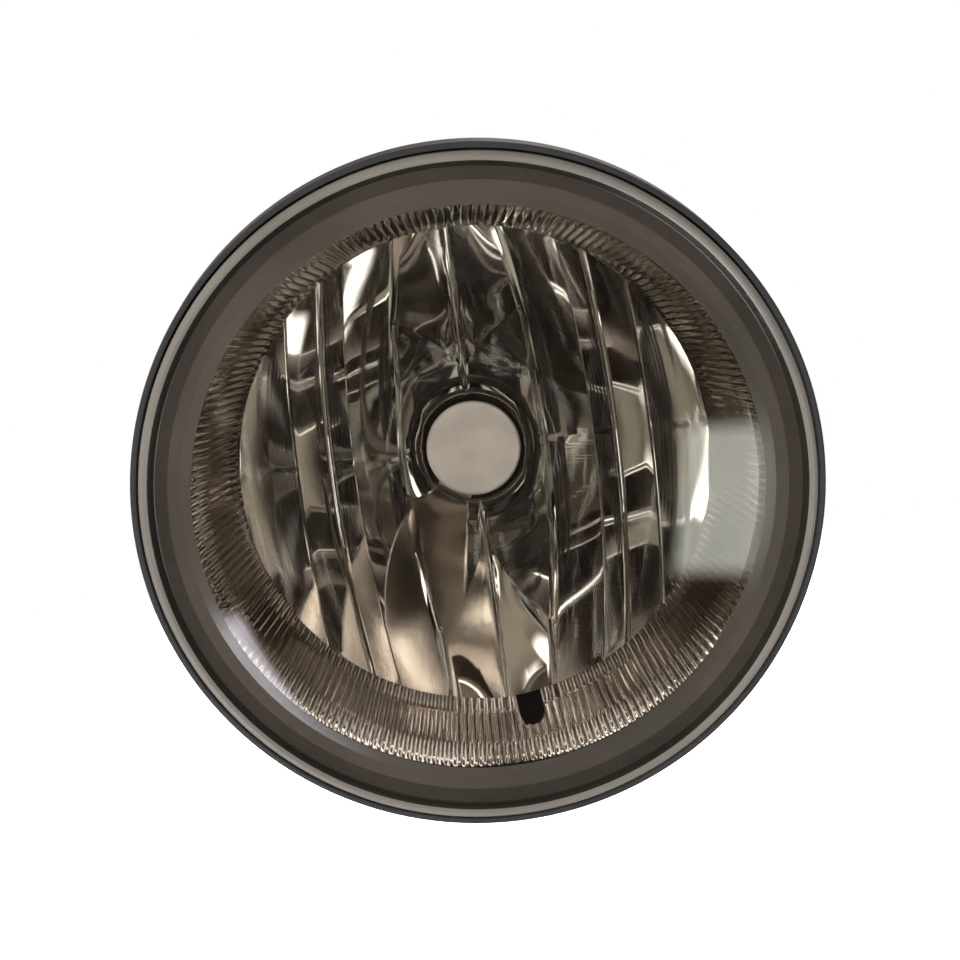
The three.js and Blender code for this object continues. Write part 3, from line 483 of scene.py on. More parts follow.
def strip_plates(near, far, sx, sz):
    """One strip on one side and half: a plate up to the fan's crease and one past it, or a single plate."""
    columns, lengths = 16, 32
    fan = near == 0
    spans = ([], [])
    for i in range(columns + 1):
        u = near + (far - near) * i / columns

        def x_at(z):
            return u - BOW * z * z

        edge = solve(0, sz * 60, lambda z: x_at(z) ** 2 + (z + OPENING_DROP) ** 2 < OPENING_R ** 2)
        hole = solve(0, sz * 20, lambda z: x_at(z) ** 2 + z * z < HOLE_R ** 2) if u < HOLE_R else 0.0
        start, spread = FAN[sz]
        crease = sz * max(abs(hole), start + spread * math.sqrt(u)) if fan else edge
        for span, (z0, z1) in zip(spans, ((hole, crease), (crease, edge))):
            heights = [z0 + (z1 - z0) * k / lengths for k in range(lengths + 1)]
            span.append([Vector((sx * x_at(z), facet(x_at(z), z), z)) for z in heights])
    return [slab(span, PLATE) for span in (spans if fan else spans[:1])]


def reflector_back():
    """The closed shell behind the strips."""
    turns, rings = 192, 24
    rows = []
    for k in range(turns):
        a = TURN * k / turns
        edge = Vector((OPENING_R * math.cos(a), 0, OPENING_R * math.sin(a) - OPENING_DROP))
        way = edge.normalized()
        spots = [way * (HOLE_R + (edge.length - HOLE_R) * t / rings) for t in range(rings + 1)]
        front = [Vector((p.x, facet(p.x, p.z) + BACK_GAP, p.z)) for p in spots]
        rows.append(front + [p + Vector((0, BACK_GAP + BACK, 0)) for p in front[::-1]])
    return grid(rows, wrap_rows=True, wrap_cols=True)


plates = []
for near, far in zip(STRIPS, STRIPS[1:]):
    for sx in (-1, 1):
        for sz in (-1, 1):
            plates += strip_plates(near, far, sx, sz)
piece(raw("reflector_mirror", plates, AXIS), "reflector", "lamp", "mirror", 60)
piece(raw("reflector_back", [reflector_back()], AXIS), None, "lamp", "mirror", 50)


# ---------------------------------------------------------------- fluted ring between lens and reflector
FLUTES, PER_FLUTE, FLUTE_RISE = 204, 6, 0.62
NOTCH_TURN, NOTCH_R, NOTCH_RUN = math.radians(5.2), 2.15, 3.4


def bezel_row(index):
    """Section of the ring at one step round it."""
    a = TURN * index / (FLUTES * PER_FLUTE)
    c, s = math.cos(a), math.sin(a)
    wave = 0.5 + 0.5 * math.cos(TURN * index / PER_FLUTE)
    rim_frame = AXIS.inverted() @ RIM

    def rim(r, depth):
        return rim_frame @ Vector((r * c, depth, r * s))

    inner = Vector((OPENING_R * c, 0, OPENING_R * s - OPENING_DROP))
    inner.y = facet(inner.x, inner.z) - 0.5
    outer = rim(49.7, 4.8)
    slope = (inner - outer).normalized()
    out = slope.cross(Vector((-s, 0, c))).normalized()
    if out.dot(Vector((c, 1, s))) > 0:
        out.negate()
    row = [rim(51.8, 6.1), rim(51.8, 4.95), rim(51.6, 4.8), rim(50.2, 4.8)]
    steps = 8
    for k in range(steps + 1):
        t = k / steps
        fade = min(1.0, max(0.0, t * 8 - 0.6), (1 - t) * 10 + 0.2)
        row.append(outer.lerp(inner, t) + out * (FLUTE_RISE * wave * fade))
    row.append(inner - out * 1.0 + Vector((0, -0.3, 0)))
    row.append(outer - out * 1.2 + slope * 1.2)
    return row


def bezel():
    rows = [bezel_row(index) for index in range(FLUTES * PER_FLUTE)]
    ring = raw("bezel_fluted", [grid(rows, wrap_rows=True, wrap_cols=True)], AXIS)
    inside = -(OPENING_R + OPENING_DROP)
    turned = AXIS @ Matrix.Rotation(-NOTCH_TURN, 4, "Y")
    notch = raw("notch", [rod(NOTCH_R, -40, 0)], turned @ Matrix.Translation((0, 0, inside - NOTCH_RUN)))
    mouth = raw("mouth", [block((-NOTCH_R, -40, inside - NOTCH_RUN), (NOTCH_R, 0, inside + 3))], turned)
    carve(notch, [mouth], "UNION")
    return carve(ring, [notch])


piece(bezel(), "bezel_ring", "lamp", "flutes", 60)


# ---------------------------------------------------------------- glare shield
def shield():
    """A cap in front of the bulb on one leg, whose foot lies on the reflector with two rivets."""
    cap = rounded([(0, -26), (8.0, -26), (8.3, -25.6), (8.3, -15), (7.5, -15), (7.5, -25.2), (0, -25.2)],
                  0.35, 5)
    turned = AXIS @ Matrix.Rotation(math.radians(121), 4, "Y")
    near, far = Vector((8.6, 13.5)), Vector((17.0, 9.0))
    slope = math.atan2(near.y - far.y, far.x - near.x)
    thick = 0.8
    rise = thick / math.cos(slope)
    leg = rounded([(7.6, -19), (8.2, -19), (8.8, -11), (8.8, near.y - thick), tuple(far),
                   (far.x, far.y + rise), (near.x, near.y + rise), (8.0, near.y + rise - thick), (8.0, -11)],
                  1.0, 4, False)
    piece(raw("shield_cap", [lathe(cap, 96)], AXIS), "bulb_shield", "lamp", "satin", 50)
    strip = raw("shield_leg", [extrude(leg, -3.2, 3.2, "Z")], turned)
    piece(strip, None, "lamp", "leg", 40, 0.15)
    spot = near.lerp(far, 0.68)
    rivet = rounded([(0, -2.1), (0.8, -2.1), (0.8, 1.1), (1.4, 1.1), (0.84, 1.9), (0, 2.1)], 0.25, 4)
    for index, (side, _) in enumerate(SIDES, 1):
        place = turned @ Matrix.Translation((spot.x, spot.y, side * 1.7)) @ Matrix.Rotation(-slope, 4, "Z")
        piece(raw(f"rivet_{index}", [lathe(rivet, 32)], place), f"shield_rivet_{index}", "lamp", "bright", 50)


shield()


# ---------------------------------------------------------------- housing
COLLAR_R, EAR_INNER, EAR_OUTER, ADJUSTER_RISE = 17, 6.5, 9.5, 37
NUT_Y = 9


def tilted(radius, y, z, tilt, count=96):
    ring = []
    for k in range(count):
        a = TURN * k / count
        up = radius * math.sin(a)
        ring.append(Vector((radius * math.cos(a), y - up * math.sin(tilt), z + up * math.cos(tilt))))
    return ring


def rim_ring(radius, depth):
    return tilted(radius, RIM_Y + depth * math.cos(TILT), depth * math.sin(TILT) - RIM_DROP, TILT)


def bowl(inset):
    """The bowl's solid, from its rim to its back, drawn in by a wall."""
    mouth = rim_ring(57 - inset * 2.35, 3 if inset else 9.2)
    rings = [rim_ring(54.3 - inset, 12), rim_ring(51 - inset, 22), tilted(46.8 - inset, -11, -2, TILT / 2),
             tilted(34 - inset, 2, 0, 0), tilted(23 - inset, 17 - inset, 0, 0)]
    columns = [smooth_path(list(column), 5) for column in zip(*rings)]
    verts, faces = grid([mouth, *[list(ring) for ring in zip(*columns)]], wrap_cols=True)
    count = len(mouth)
    faces += [tuple(range(count)), tuple(range(len(verts) - 1, len(verts) - count - 1, -1))]
    return verts, faces


def sideways(side, y, z):
    """A frame whose Y axis points out along +X or -X."""
    return Matrix.Translation((0, y, z)) @ Matrix.Rotation(-side * math.pi / 2, 4, "Z")


def slot_plate(half, run, low, high, steps=12):
    outline = [(half * math.cos(math.pi * i / steps), run + half * math.sin(math.pi * i / steps))
               for i in range(steps + 1)]
    outline += [(-x, -z) for x, z in outline]
    return extrude(outline, low, high)


def sector(radius, low, high, angle, spread, steps=10):
    turns = [angle + spread * (i / steps - 0.5) for i in range(steps + 1)]
    return extrude([(0, 0)] + [(radius * math.cos(t), radius * math.sin(t)) for t in turns], low, high)


def housing_side(side):
    """An ear of the aim gear, a pivot boss and the webs round it."""
    ear = rounded([(-9, 20), (7, 20), (6, ADJUSTER_RISE), (4, 43.5), (-4, 43.5), (-6, ADJUSTER_RISE)],
                  2.2, 5, False)
    low, high = sorted((side * EAR_INNER, side * EAR_OUTER))
    out = [raw("ear", [extrude(ear, low, high)],
               AXIS @ Matrix.Translation((0, NUT_Y, 0)) @ Matrix.Rotation(-math.pi / 2, 4, "Z"))]
    boss = AXIS @ sideways(side, PIVOT.y, 0)
    out.append(raw("boss", [rod(8, 37, 46.6, 64, 0.7)], boss))
    for k in range(4):
        web = boss @ Matrix.Rotation(math.pi / 4 + k * math.pi / 2, 4, "Y")
        out.append(raw("web", [extrude([(0, -0.8), (11.0, -0.8), (11.0, 0.8), (0, 0.8)], 38.0, 42.2)], web))
    return out


def housing_additions():
    edge = rounded([(52.3, 4.8), (55.6, 4.8), (55.6, 8.3), (58.9, 8.3), (58.9, 1.2), (60.0, 1.55),
                    (60.0, 9.9), (52.3, 11.9)], 0.45, 4, False)
    step = rounded([(17.5, 14.8), (20.2, 12.6), (20.2, 16.4), (16.5, 18.2)], 0.5, 3, False)
    out = [raw("rim", [lathe(edge, 192)], RIM), raw("collar", [rod(COLLAR_R, 16, 23, 96, 0.6)], AXIS),
           raw("collar_step", [lathe(step, 96)], AXIS)]
    for side, _ in SIDES:
        out += housing_side(side)
    rib = [(16.5, 16.5), (16.5, 21.0), (22.0, 17.2), (31.2, 5.4), (31.2, 3.4), (22.0, 15.6)]
    for angle in (45, 135, 225, 315, 0, 180):
        turn = AXIS @ Matrix.Rotation(math.radians(angle), 4, "Y")
        out.append(raw("rib", [extrude(rib, -0.8, 0.8, "Z")], turn))
    out.append(raw("spigot", [rod(3, 2.5, 20, 32, 0.4)], VENT_AXIS))
    return out


def housing_cuts():
    out = [raw("bore", [rod(10.6, 9, 20.5, 64)], AXIS), raw("chamber", [rod(13.5, 17, 20, 64)], AXIS),
           raw("lip", [rod(11.2, 19, 24, 64)], AXIS), raw("breather", [rod(1.5, 0, 21, 24)], VENT_AXIS)]
    for k in range(3):
        turn = math.pi / 2 + k * TURN / 3 - math.pi / 4
        out.append(raw("notch", [sector(13.5, 19, 24, turn, math.radians(38))], AXIS))
    seat = [(0, 7), (1.8, 7), (1.8, 14.5), (4.2, 14.5), (4.2, 20.5), (0, 20.5)]
    for x, z in SCREW_SPOTS:
        out.append(raw("seat", [lathe(seat, 32)], AXIS @ Matrix.Translation((x, 0, z))))
    for side, _ in SIDES:
        out.append(raw("pivot_hole", [rod(3.3, 40.8, 48)], AXIS @ sideways(side, PIVOT.y, 0)))
    slot = AXIS @ Matrix.Translation((0, NUT_Y, ADJUSTER_RISE)) @ Matrix.Rotation(-math.pi / 2, 4, "Z")
    out.append(raw("ear_slot", [slot_plate(2.8, 1.4, -11, 11)], slot))
    return out


def housing():
    shell = raw("housing_shell", [bowl(0)], AXIS)
    carve(shell, housing_additions(), "UNION")
    carve(shell, [raw("inside", [bowl(2)], AXIS)])
    for x, z in SCREW_SPOTS:
        carve(shell, [raw("pad", [rod(4.5, 8, 14.5, 40)], AXIS @ Matrix.Translation((x, 0, z)))], "UNION")
    return carve(shell, housing_cuts())


piece(housing(), "housing", "lamp", "black", 34, 0.18)

cap_outline = rounded([(3.3, 13.2), (4.3, 13.2), (4.3, 15.2), (4.5, 15.4), (4.5, 16.4), (4.3, 16.6),
                       (4.3, 21.6), (3.5, 22.5), (0, 22.5), (0, 20.6), (3.3, 20.6)], 0.3, 3)
piece(raw("vent_cap_rubber", [lathe(cap_outline, 40)], VENT_AXIS), "vent_cap", "lamp", "rubber", 50)


def thread(radius, root, low, high, lead):
    """A screw thread about Y with a solid root, closed at both ends; each end fades out in one turn."""
    segments = 24
    rows = []
    for i in range(int((high - low) / lead * segments) + 1):
        t = i / segments
        a = TURN * t
        y = low + lead * t
        crest = root + (radius - root) * max(min(1.0, (y - low) / lead, (high - y) / lead), 0.0)
        profile = ((root, -lead / 2), (crest, -lead / 8), (crest, lead / 8), (root, lead / 2),
                   (root * 0.6, 0))
        rows.append([Vector((r * math.sin(a), min(max(y + dy, low), high), r * math.cos(a)))
                     for r, dy in profile])
    verts, faces = grid(rows, wrap_cols=True)
    faces += [tuple(range(5)), tuple(range(len(verts) - 1, len(verts) - 6, -1))]
    return verts, faces


def reflector_screw(index, x, z):
    place = AXIS @ Matrix.Translation((x, 0, z))
    shank = rounded([(0, 3), (0.4, 3.1), (1.15, 4.4), (1.15, 14.6), (3.1, 14.8), (3.3, 15.3), (3.1, 16.0),
                     (2.3, 16.9), (0, 17.0)], 0.3, 3)
    obj = raw(f"reflector_screw_body_{index}", [lathe(shank, 40)], place)
    arms = [block((-0.35, 15.8, -1.6), (0.35, 18, 1.6)), block((-1.6, 15.8, -0.35), (1.6, 18, 0.35))]
    turn = place @ Matrix.Rotation(0.4 + index, 4, "Y")
    carve(obj, [raw("arm", [arm], turn) for arm in arms])
    piece(obj, f"reflector_screw_{index}", "lamp", "zinc", 35, 0.06)
    winding = raw(f"reflector_screw_thread_{index}", [thread(1.5, 1.1, 4.2, 13.6, 1.1)], place)
    piece(winding, None, "lamp", "zinc", 40)


for number, (x, z) in enumerate(SCREW_SPOTS, 1):
    reflector_screw(number, x, z)


# ---------------------------------------------------------------- bracket, pivots and aiming gear
STRAP, ARM_OUTER, YOKE_FRONT, YOKE_BACK = 2.5, 51, -12, 6
TAB_BACK, TAB_LOW, TAB_HALF, TAB_BEND = 23.5, -25, 8, 2.9
SCREW_LEAD = 2.0  # travel of the nut in one turn, as the couplings of the two joints have it


def curve(before, here, after, reach, steps=8):
    """A rounded corner as a quadratic curve that starts and ends at reach from it."""
    a = here + (before - here).normalized() * reach
    b = here + (after - here).normalized() * reach
    times = [k / steps for k in range(steps + 1)]
    return [tuple(a * (1 - t) ** 2 + here * 2 * t * (1 - t) + b * t * t) for t in times]


def strap_path(inset):
    """Half of the yoke's section in X and Z, with real bend radii."""
    corner = inset * math.tan(math.pi / 8)
    points = [Vector((0, -inset)), Vector((18 - corner, -inset)), Vector((ARM_OUTER - inset, -33 - corner)),
              Vector((ARM_OUTER - inset, AXIS_Z))]
    reach = (6.5 - inset) * math.tan(math.pi / 8) + 0.8
    out = [tuple(points[0])]
    for trio in zip(points, points[1:], points[2:]):
        out += curve(*trio, reach)
    return out + [tuple(points[-1])]


def arc(y, z, radius, start, turn, steps):
    """Points of an arc, without the first."""
    angles = [start + turn * k / steps for k in range(1, steps + 1)]
    return [(y + radius * math.cos(a), z + radius * math.sin(a)) for a in angles]


def tongue():
    """The tab that carries the aim screw: the pad's rear edge bent down, as a section in Y and Z."""
    bend_y, quarter = TAB_BACK - TAB_BEND, math.pi / 2
    section = [(11, -STRAP), (11, 0), (bend_y, 0), *arc(bend_y, -TAB_BEND, TAB_BEND, quarter, -quarter, 8)]
    section += [(TAB_BACK, TAB_LOW), (TAB_BACK - STRAP, TAB_LOW), (TAB_BACK - STRAP, -TAB_BEND)]
    section += arc(bend_y, -TAB_BEND, TAB_BEND - STRAP, 0, quarter, 6)
    return raw("tongue", [extrude(section, -TAB_HALF, TAB_HALF, "X")])


def bracket():
    outer, inner = strap_path(0), strap_path(STRAP)
    loop = outer + inner[::-1] + [(-x, z) for x, z in inner[1:]] + [(-x, z) for x, z in outer[::-1][:-1]]
    obj = raw("bracket_steel", [extrude(loop, YOKE_FRONT, YOKE_BACK)])
    pad = rounded([(-16.9, 5), (16.9, 5), (16.9, 12), (-16.9, 12)], 2.5, 5, False)
    ends = [raw("end", [rod(9, ARM_OUTER - STRAP, ARM_OUTER, 64)], sideways(side, -3, AXIS_Z))
            for side, _ in SIDES]
    carve(obj, [*ends, raw("pad", [extrude(pad, -STRAP, 0, "Z")]), tongue()], "UNION")
    cuts = [raw("tab_hole", [rod(4.7, 19, 25)], AIM_AXIS)]
    for side, _ in SIDES:
        cuts.append(raw("arm_hole", [rod(4.9, 47, 53)], sideways(side, PIVOT.y, AXIS_Z)))
        turn = Matrix.Translation((side * 11, 0, 0)) @ Matrix.Rotation(math.pi / 2, 4, "X")
        cuts.append(raw("pad_slot", [slot_plate(3.5, 2, -2, 6)], turn))
        chop = [(side * 0.1, -0.1), (-side * 3, -0.1), (side * 0.1, 3)]
        cuts.append(raw("corner", [extrude(chop, 19, 25)], Matrix.Translation((side * TAB_HALF, 0, TAB_LOW))))
    return carve(obj, cuts)


piece(bracket(), "bracket", "bracket", "coat", 34, 0.3)


def hex_head(name, radius, low, crown, place):
    """A hexagon head whose corners are turned down to the outline of the crown."""
    head = raw(name, [rod(radius, low, crown[-1][1], 6)], place)
    return carve(head, [raw("crown", [lathe(rounded(crown, 0.2, 2), 48)], place)], "INTERSECT")


def pivot(side, word):
    place = sideways(side, PIVOT.y, AXIS_Z)
    bush = rounded([(3.3, 46.9), (7.2, 46.9), (7.2, 48.2), (4.6, 48.2), (4.6, 51.4), (3.3, 51.4)],
                   0.3, 3, False)
    stem = rounded([(0, 41.1), (2.6, 41.1), (3.0, 41.6), (3.0, 51.7), (7.0, 51.7), (7.0, 52.9), (0, 52.9)],
                   0.25, 3)
    bush = raw(f"pivot_bush_nylon_{word}", [lathe(bush, 48)], place)
    piece(bush, f"pivot_bush_{word}", "bracket", "nylon", 50)
    stem = raw(f"pivot_screw_stem_{word}", [lathe(stem, 48)], place)
    piece(stem, f"pivot_screw_{word}", "lamp", "zinc", 50)
    crown = [(0, 52), (6.2, 52), (6.2, 55.9), (4.7, 56.7), (0, 56.7)]
    head = hex_head(f"pivot_screw_head_{word}", 5.5, 52.85, crown, place)
    piece(head, None, "lamp", "zinc", 30, 0.12)


def adjuster():
    grommet = rounded([(2.6, 19.2), (6.2, 19.2), (6.2, 20.7), (4.4, 20.7), (4.4, 23.8), (6.2, 23.8),
                       (6.2, 25.2), (2.6, 25.2)], 0.35, 3, False)
    grommet = raw("adjuster_grommet_nylon", [lathe(grommet, 48)], AIM_AXIS)
    piece(grommet, "adjuster_grommet", "bracket", "nylon", 50)
    stem = rounded([(0, 3), (1.7, 3), (1.9, 3.6), (1.9, 25.5), (6.2, 25.5), (6.2, 26.8), (0, 26.8)], 0.25, 3)
    piece(raw("adjuster_stem", [lathe(stem, 48)], AIM_AXIS), "adjuster_screw", "aim_screw", "yellow", 50)
    winding = raw("adjuster_thread", [thread(2.3, 1.85, 3.4, 17.2, SCREW_LEAD)], AIM_AXIS)
    piece(winding, None, "aim_screw", "yellow", 40)
    crown = [(0, 26), (5.2, 26), (5.2, 30.8), (4.0, 31.5), (0, 31.5)]
    head = hex_head("adjuster_head", 4.6, 26.7, crown, AIM_AXIS)
    carve(head, [raw("driver_slot", [block((-0.6, 29.9, -6), (0.6, 33, 6))], AIM_AXIS)])
    piece(head, None, "aim_screw", "yellow", 30, 0.1)


for side, word in SIDES:
    pivot(side, word)
adjuster()


def clip():
    """A flat open ring with three fingers that grip the screw."""
    gap, outer, middle, inner, front, rear, steps = math.radians(34), 4.6, 2.9, 2.15, 17.75, 18.75, 40
    rows = []
    for i in range(steps + 1):
        a = -math.pi / 2 + gap + (TURN - 2 * gap) * i / steps
        r_in = inner if i % 13 in (0, 1, 2) and 0 < i < steps else middle
        rows.append([Vector((r * math.cos(a), y, r * math.sin(a)))
                     for r, y in ((r_in, front), (outer, front), (outer, rear), (r_in, rear))])
    verts, faces = grid(rows, wrap_cols=True)
    return verts, faces + [(3, 2, 1, 0), tuple(range(len(verts) - 4, len(verts)))]


def nut():
    obj = raw("adjuster_nut_nylon", [block((-6.2, NUT_Y - 4, -4), (6.2, NUT_Y + 4, 4))], AIM_AXIS)
    across_x = AIM_AXIS @ Matrix.Translation((0, NUT_Y, 0)) @ Matrix.Rotation(math.pi / 2, 4, "Z")
    carve(obj, [raw("pins", [rod(2.5, -10, 10, 48, 0.4)], across_x)], "UNION")
    bore = lathe([(0, 4), (3.2, 4), (2.6, 5.6), (2.6, 12.4), (3.2, 14), (0, 14)], 40)
    return carve(obj, [raw("nut_bore", [bore], AIM_AXIS)])


piece(raw("adjuster_clip_steel", [clip()], AIM_AXIS), "adjuster_clip", "aim_screw", "spring", 40, 0.12)
piece(nut(), "adjuster_nut", "aim_nut", "nylon", 34, 0.25)


# ---------------------------------------------------------------- bulb
LUG_R, ELBOW_HALF, BLADE_X = 13.1, 8.5, 3.2
GLASS_R, GLASS_WALL, NOSE_Y = 5.6, 0.9, -8.4
FILAMENT_Y, FILAMENT_HALF, COIL_R, COIL_TURNS = -3, 2.2, 0.66, 11


def bulb_base():
    body = rounded([(0, 17.6), (10.9, 17.6), (10.9, 25), (15.5, 25), (15.5, 27.5), (9.5, 27.5), (9.5, 36),
                    (0, 36)], 0.4, 4)
    obj = raw("bulb_base_plastic", [lathe(body, 96)], AXIS)
    adds = [raw("lug", [sector(LUG_R, 17.6, 19.6, math.pi / 2 + k * TURN / 3, math.radians(30))], AXIS)
            for k in range(3)]
    elbow = [(-ELBOW_HALF, -24), (ELBOW_HALF, -24), (ELBOW_HALF, 7), (-ELBOW_HALF, 7)]
    adds.append(raw("elbow", [extrude(rounded(elbow, 2.0, 5, False), 27, 42)], AXIS))
    wedge = [(42, -19), (43.2, -17.8), (43.2, -17), (41.5, -16), (41.5, -19)]
    adds.append(raw("latch", [extrude(wedge, -2.5, 2.5, "X")], AXIS))
    for k in range(24):
        turn = AXIS @ Matrix.Rotation(TURN * k / 24, 4, "Y")
        adds.append(raw("grip", [block((-0.55, 27.2, 10.9), (0.55, 28.3, 14.9))], turn))
    for x in (-ELBOW_HALF, ELBOW_HALF):
        for z in (-21, -18, -15):
            adds.append(raw("rail", [block((x - 0.35, 29.5, z - 0.45), (x + 0.35, 40, z + 0.45))], AXIS))
    carve(obj, adds, "UNION")
    cuts = [raw("socket", [block((-6.9, 29.1, -26), (6.9, 40.4, -11))], AXIS)]
    for x in (-BLADE_X, BLADE_X):
        cuts.append(raw("blade_slot", [block((x - 1.7, 34.05, -12), (x + 1.7, 35.45, -2.7))], AXIS))
    return carve(obj, cuts)


def nose(radius, steps=12):
    """Half section of the capsule's round end, from its tip back."""
    angles = [math.pi / 2 * k / steps for k in range(steps + 1)]
    return [(radius * math.sin(a), NOSE_Y - radius * math.cos(a)) for a in angles]


def capsule():
    inner = GLASS_R - GLASS_WALL
    outside = [*nose(GLASS_R), (GLASS_R, 15.8), (GLASS_R - 0.15, 16)]
    return lathe(outside + [(inner + 0.15, 16), (inner, 15.8), *nose(inner)[::-1]], 64)


def filament():
    steps = COIL_TURNS * 20
    coil = []
    for k in range(steps + 1):
        a = TURN * COIL_TURNS * k / steps
        y = FILAMENT_Y + FILAMENT_HALF * (2 * k / steps - 1)
        coil.append(Vector((COIL_R * math.sin(a), y, COIL_R * math.cos(a))))
    return tube(coil, 0.13, 8)


def lead_and_blade(side, word):
    end_y = FILAMENT_Y + side * 3.3
    path = [(3, 17), (3, 8), (3, end_y + 2), (2.4, end_y + 0.4), (1.2, end_y), (-0.2, end_y)]
    wire = tube(smooth_path([Vector((side * x, y, 0)) for x, y in path]), 0.28, 12)
    piece(raw(f"lead_wire_{word}", [wire], AXIS), f"filament_support_{word}", "bulb", "bright", 60)
    outline = [(-1.4, -18.8), (-0.7, -20), (0.7, -20), (1.4, -18.8), (1.4, -3), (-1.4, -3)]
    outline = [(side * BLADE_X + x, z) for x, z in outline]
    blade = raw(f"terminal_blade_{word}", [extrude(outline, 34.35, 35.15)], AXIS)
    piece(blade, f"terminal_{word}", "bulb", "blade", 34, 0.12)


piece(bulb_base(), "bulb_base", "bulb", "base", 34, 0.16)
ring = [(14 + 0.7 * math.cos(TURN * k / 16), 24 + 0.7 * math.sin(TURN * k / 16)) for k in range(16)]
piece(raw("bulb_seal_silicone", [lathe(ring, 96)], AXIS), "bulb_seal_ring", "bulb", "silicone", 60)
collar = rounded([(6.2, 7), (7.2, 7), (7.2, 11), (7.7, 11.5), (7.7, 12.5), (7.2, 13), (7.2, 17.3),
                  (6.2, 17.3)], 0.25, 3, False)
piece(raw("bulb_collar_steel", [lathe(collar, 64)], AXIS), "bulb_collar", "bulb", "bright", 50)
piece(raw("bulb_capsule", [capsule()], AXIS), "bulb_glass", "bulb", "bulb", 60)
piece(raw("filament_coil", [filament()], AXIS), "filament", "bulb", "tungsten", 60)
for side, word in SIDES:
    lead_and_blade(side, word)


# ---------------------------------------------------------------- camera, stage and light
CAMERA_LENS, EYE_DISTANCE, ROLL = 104.85, 480, math.radians(7.3)
AIM_RIGHT, AIM_DOWN = 0.40, 5.70  # where the camera looks, from the middle of the rim's front
FLOOR_Z = -165


def camera():
    data = bpy.data.cameras.new("camera")
    data.sensor_width, data.lens = 36, CAMERA_LENS
    data.clip_start, data.clip_end = 0.01, 50
    obj = bpy.data.objects.new("camera", data)
    bpy.context.scene.collection.objects.link(obj)
    eye = Vector((0, RIM_Y - EYE_DISTANCE, AXIS_Z)) * MM
    target = Vector((AIM_RIGHT, RIM_Y, AXIS_Z - AIM_DOWN)) * MM
    back = (eye - target).normalized()
    right = Vector((math.sin(ROLL), 0, math.cos(ROLL))).cross(back).normalized()
    up = back.cross(right).normalized()
    obj.matrix_world = Matrix.Translation(eye) @ Matrix((right, up, back)).transposed().to_4x4()
    bpy.context.scene.camera = obj


# Azimuth, elevation, width, height, softness (degrees) and colour of bright patches in the world.
# WINDOWS are what the outside shows; PANELS are what the mirror shows through the glass.
WINDOWS = (
    (42, -25.5, 17, 21, 2.0, (4.1, 4.2, 3.8)),
    (-50, -48, 7, 30, 2.0, (11.0, 10.4, 11.6)),
    (-66, -48, 6, 30, 2.0, (9.5, 10.0, 8.6)),
    (150, 35, 60, 30, 8.0, (1.6, 1.6, 1.6)),
    (-130, 30, 60, 30, 8.0, (1.4, 1.4, 1.4)),
)
PANELS = (
    (-44, 0, 22, 140, 8.0, (0.34, 0.298, 0.245)),
    (-15, 0, 9, 140, 3.0, (0.52, 0.470, 0.40)),
    (9, 0, 6, 140, 2.5, (0.44, 0.405, 0.345)),
    (33, 0, 15, 140, 5.0, (0.28, 0.235, 0.19)),
    (62, 0, 18, 140, 6.0, (0.38, 0.335, 0.28)),
    (-23, 20, 5, 44, 1.2, (4.4, 4.4, 4.3)),
    (3, 24, 6, 30, 1.2, (5.5, 5.5, 5.4)),
    (15, 8, 4, 56, 1.0, (5.0, 5.0, 4.9)),
    (40, 20, 6, 50, 1.5, (3.4, 3.4, 3.3)),
    (-20, 52, 24, 14, 3.0, (1.8, 1.8, 1.7)),
    (6, -40, 22, 26, 4.0, (0.62, 0.66, 0.57)),
)

def hang(g, azimuth, height, total, patches):
    """The colour with soft-edged patches laid over it."""
    for az, el, wide, high, soft, colour in patches:
        aside = g.maths("ABSOLUTE", g.maths("SUBTRACT", azimuth, math.radians(az)))
        upward = g.maths("ABSOLUTE", g.maths("SUBTRACT", height, math.radians(el)))
        mask = None
        for distance, half in ((aside, wide / 2), (upward, high / 2)):
            edge = g.add("ShaderNodeMapRange", inputs={
                0: distance, 1: math.radians(half + soft), 2: math.radians(half - soft), 3: 0.0, 4: 1.0},
                interpolation_type="SMOOTHSTEP")
            mask = edge if mask is None else g.maths("MULTIPLY", mask, edge)
        total = g.add("ShaderNodeMix", out=2, inputs={0: mask, 6: total, 7: (*colour, 1)}, data_type="RGBA")
    return total


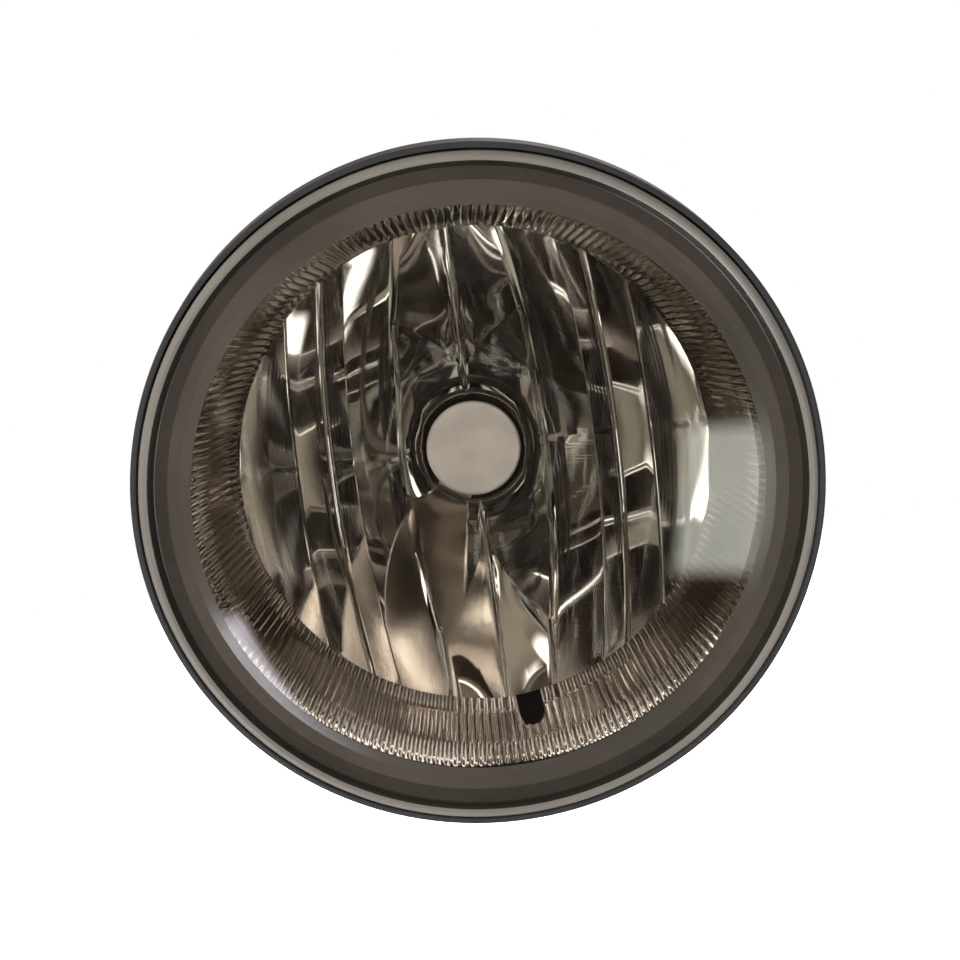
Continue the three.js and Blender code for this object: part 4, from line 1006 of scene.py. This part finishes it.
def world():
    """White to the camera, a dim room with windows to reflections, and furniture to rays off the mirror."""
    made = bpy.data.worlds.new("studio")
    bpy.context.scene.world = made
    made.use_nodes = True
    tree = made.node_tree
    tree.nodes.clear()
    g = Graph(tree)
    way = g.add("ShaderNodeTexCoord", out=0)
    split = tree.nodes.new("ShaderNodeSeparateXYZ")
    tree.links.new(way, split.inputs[0])
    x, y, z = split.outputs
    azimuth = g.maths("ARCTAN2", x, g.maths("MULTIPLY", y, -1.0))
    height = g.maths("ARCSINE", z)
    room = g.ramp(g.maths("MULTIPLY_ADD", z, 0.5, 0.5), [
        (0.0, (0.10, 0.085, 0.070)), (0.42, (0.055, 0.042, 0.033)), (0.55, (0.085, 0.066, 0.050)),
        (0.80, (0.20, 0.17, 0.14)), (1.0, (0.34, 0.30, 0.26))])
    stretched = g.add("ShaderNodeMapping", inputs={0: way, 3: (1.2, 0.8, 0.25)})
    blotch = g.add("ShaderNodeTexNoise", inputs={
        "Vector": stretched, "Scale": 1.7, "Detail": 0.5, "Roughness": 0.5})
    furniture = g.ramp(blotch, [
        (0.38, (0.006, 0.003, 0.002)), (0.46, (0.036, 0.019, 0.014)), (0.53, (0.088, 0.058, 0.043)),
        (0.59, (0.18, 0.145, 0.115)), (0.65, (0.9, 0.9, 0.85))])
    path = tree.nodes.new("ShaderNodeLightPath")
    off_mirror = g.maths("GREATER_THAN", path.outputs["Transmission Depth"], 2.5)
    outside = hang(g, azimuth, height, room, WINDOWS)
    behind_glass = hang(g, azimuth, height, furniture, PANELS)
    total = g.add("ShaderNodeMix", out=2, inputs={0: off_mirror, 6: outside, 7: behind_glass},
                  data_type="RGBA")
    sky = g.add("ShaderNodeBackground", inputs={0: (1, 1, 1, 1), 1: 1.0})
    dim = g.add("ShaderNodeBackground", inputs={0: total, 1: 1.0})
    mixed = g.add("ShaderNodeMixShader", inputs={0: path.outputs["Is Camera Ray"], 1: dim, 2: sky})
    out = tree.nodes.new("ShaderNodeOutputWorld")
    tree.links.new(mixed, out.inputs[0])


def lamp(name, at, look, size, power, colour=(1, 1, 1)):
    data = bpy.data.lights.new(name, "AREA")
    data.shape, data.size, data.energy, data.color = "DISK", size, power, colour
    obj = bpy.data.objects.new(name, data)
    bpy.context.scene.collection.objects.link(obj)
    obj.location = Vector(at)
    obj.rotation_euler = (Vector(look) - Vector(at)).to_track_quat("-Z", "Y").to_euler()
    obj.visible_glossy = False
    obj.visible_transmission = False
    obj.visible_camera = False
    return obj


def floor():
    """A pale floor that can be seen through from below."""
    obj = raw("floor", [grid([[Vector((x, y, 0)) for x in (-2000, 2000)] for y in (-2000, 2000)])],
              Matrix.Translation((0, 0, FLOOR_Z)))
    mat = bpy.data.materials.new("floor")
    mat.use_nodes = True
    tree = mat.node_tree
    g = Graph(tree)
    shader = tree.nodes["Principled BSDF"]
    shader.inputs["Base Color"].default_value = (0.86, 0.85, 0.83, 1)
    shader.inputs["Roughness"].default_value = 0.9
    shader.inputs["Specular IOR Level"].default_value = 0
    shader.inputs["Emission Color"].default_value = (1, 1, 1, 1)
    shader.inputs["Emission Strength"].default_value = 0.92
    clear = g.add("ShaderNodeBsdfTransparent")
    behind = g.add("ShaderNodeNewGeometry", out=6)
    mixed = g.add("ShaderNodeMixShader", inputs={0: behind, 1: shader.outputs[0], 2: clear})
    tree.links.new(mixed, tree.nodes["Material Output"].inputs[0])
    obj.data.materials.append(mat)
    obj.visible_glossy = False
    obj.visible_transmission = False


camera()
world()
floor()
middle = (0, 0, -0.06)
lamp("key", (-0.95, -0.8, 0.15), middle, 0.6, 22, (1.0, 0.97, 0.93))
lamp("side", (0.8, -0.7, 0.8), middle, 0.6, 9, (0.97, 0.98, 1.0))
lamp("rear", (0.5, 1.1, 0.7), middle, 0.8, 34)
bpy.context.scene.view_settings.view_transform = "Standard"
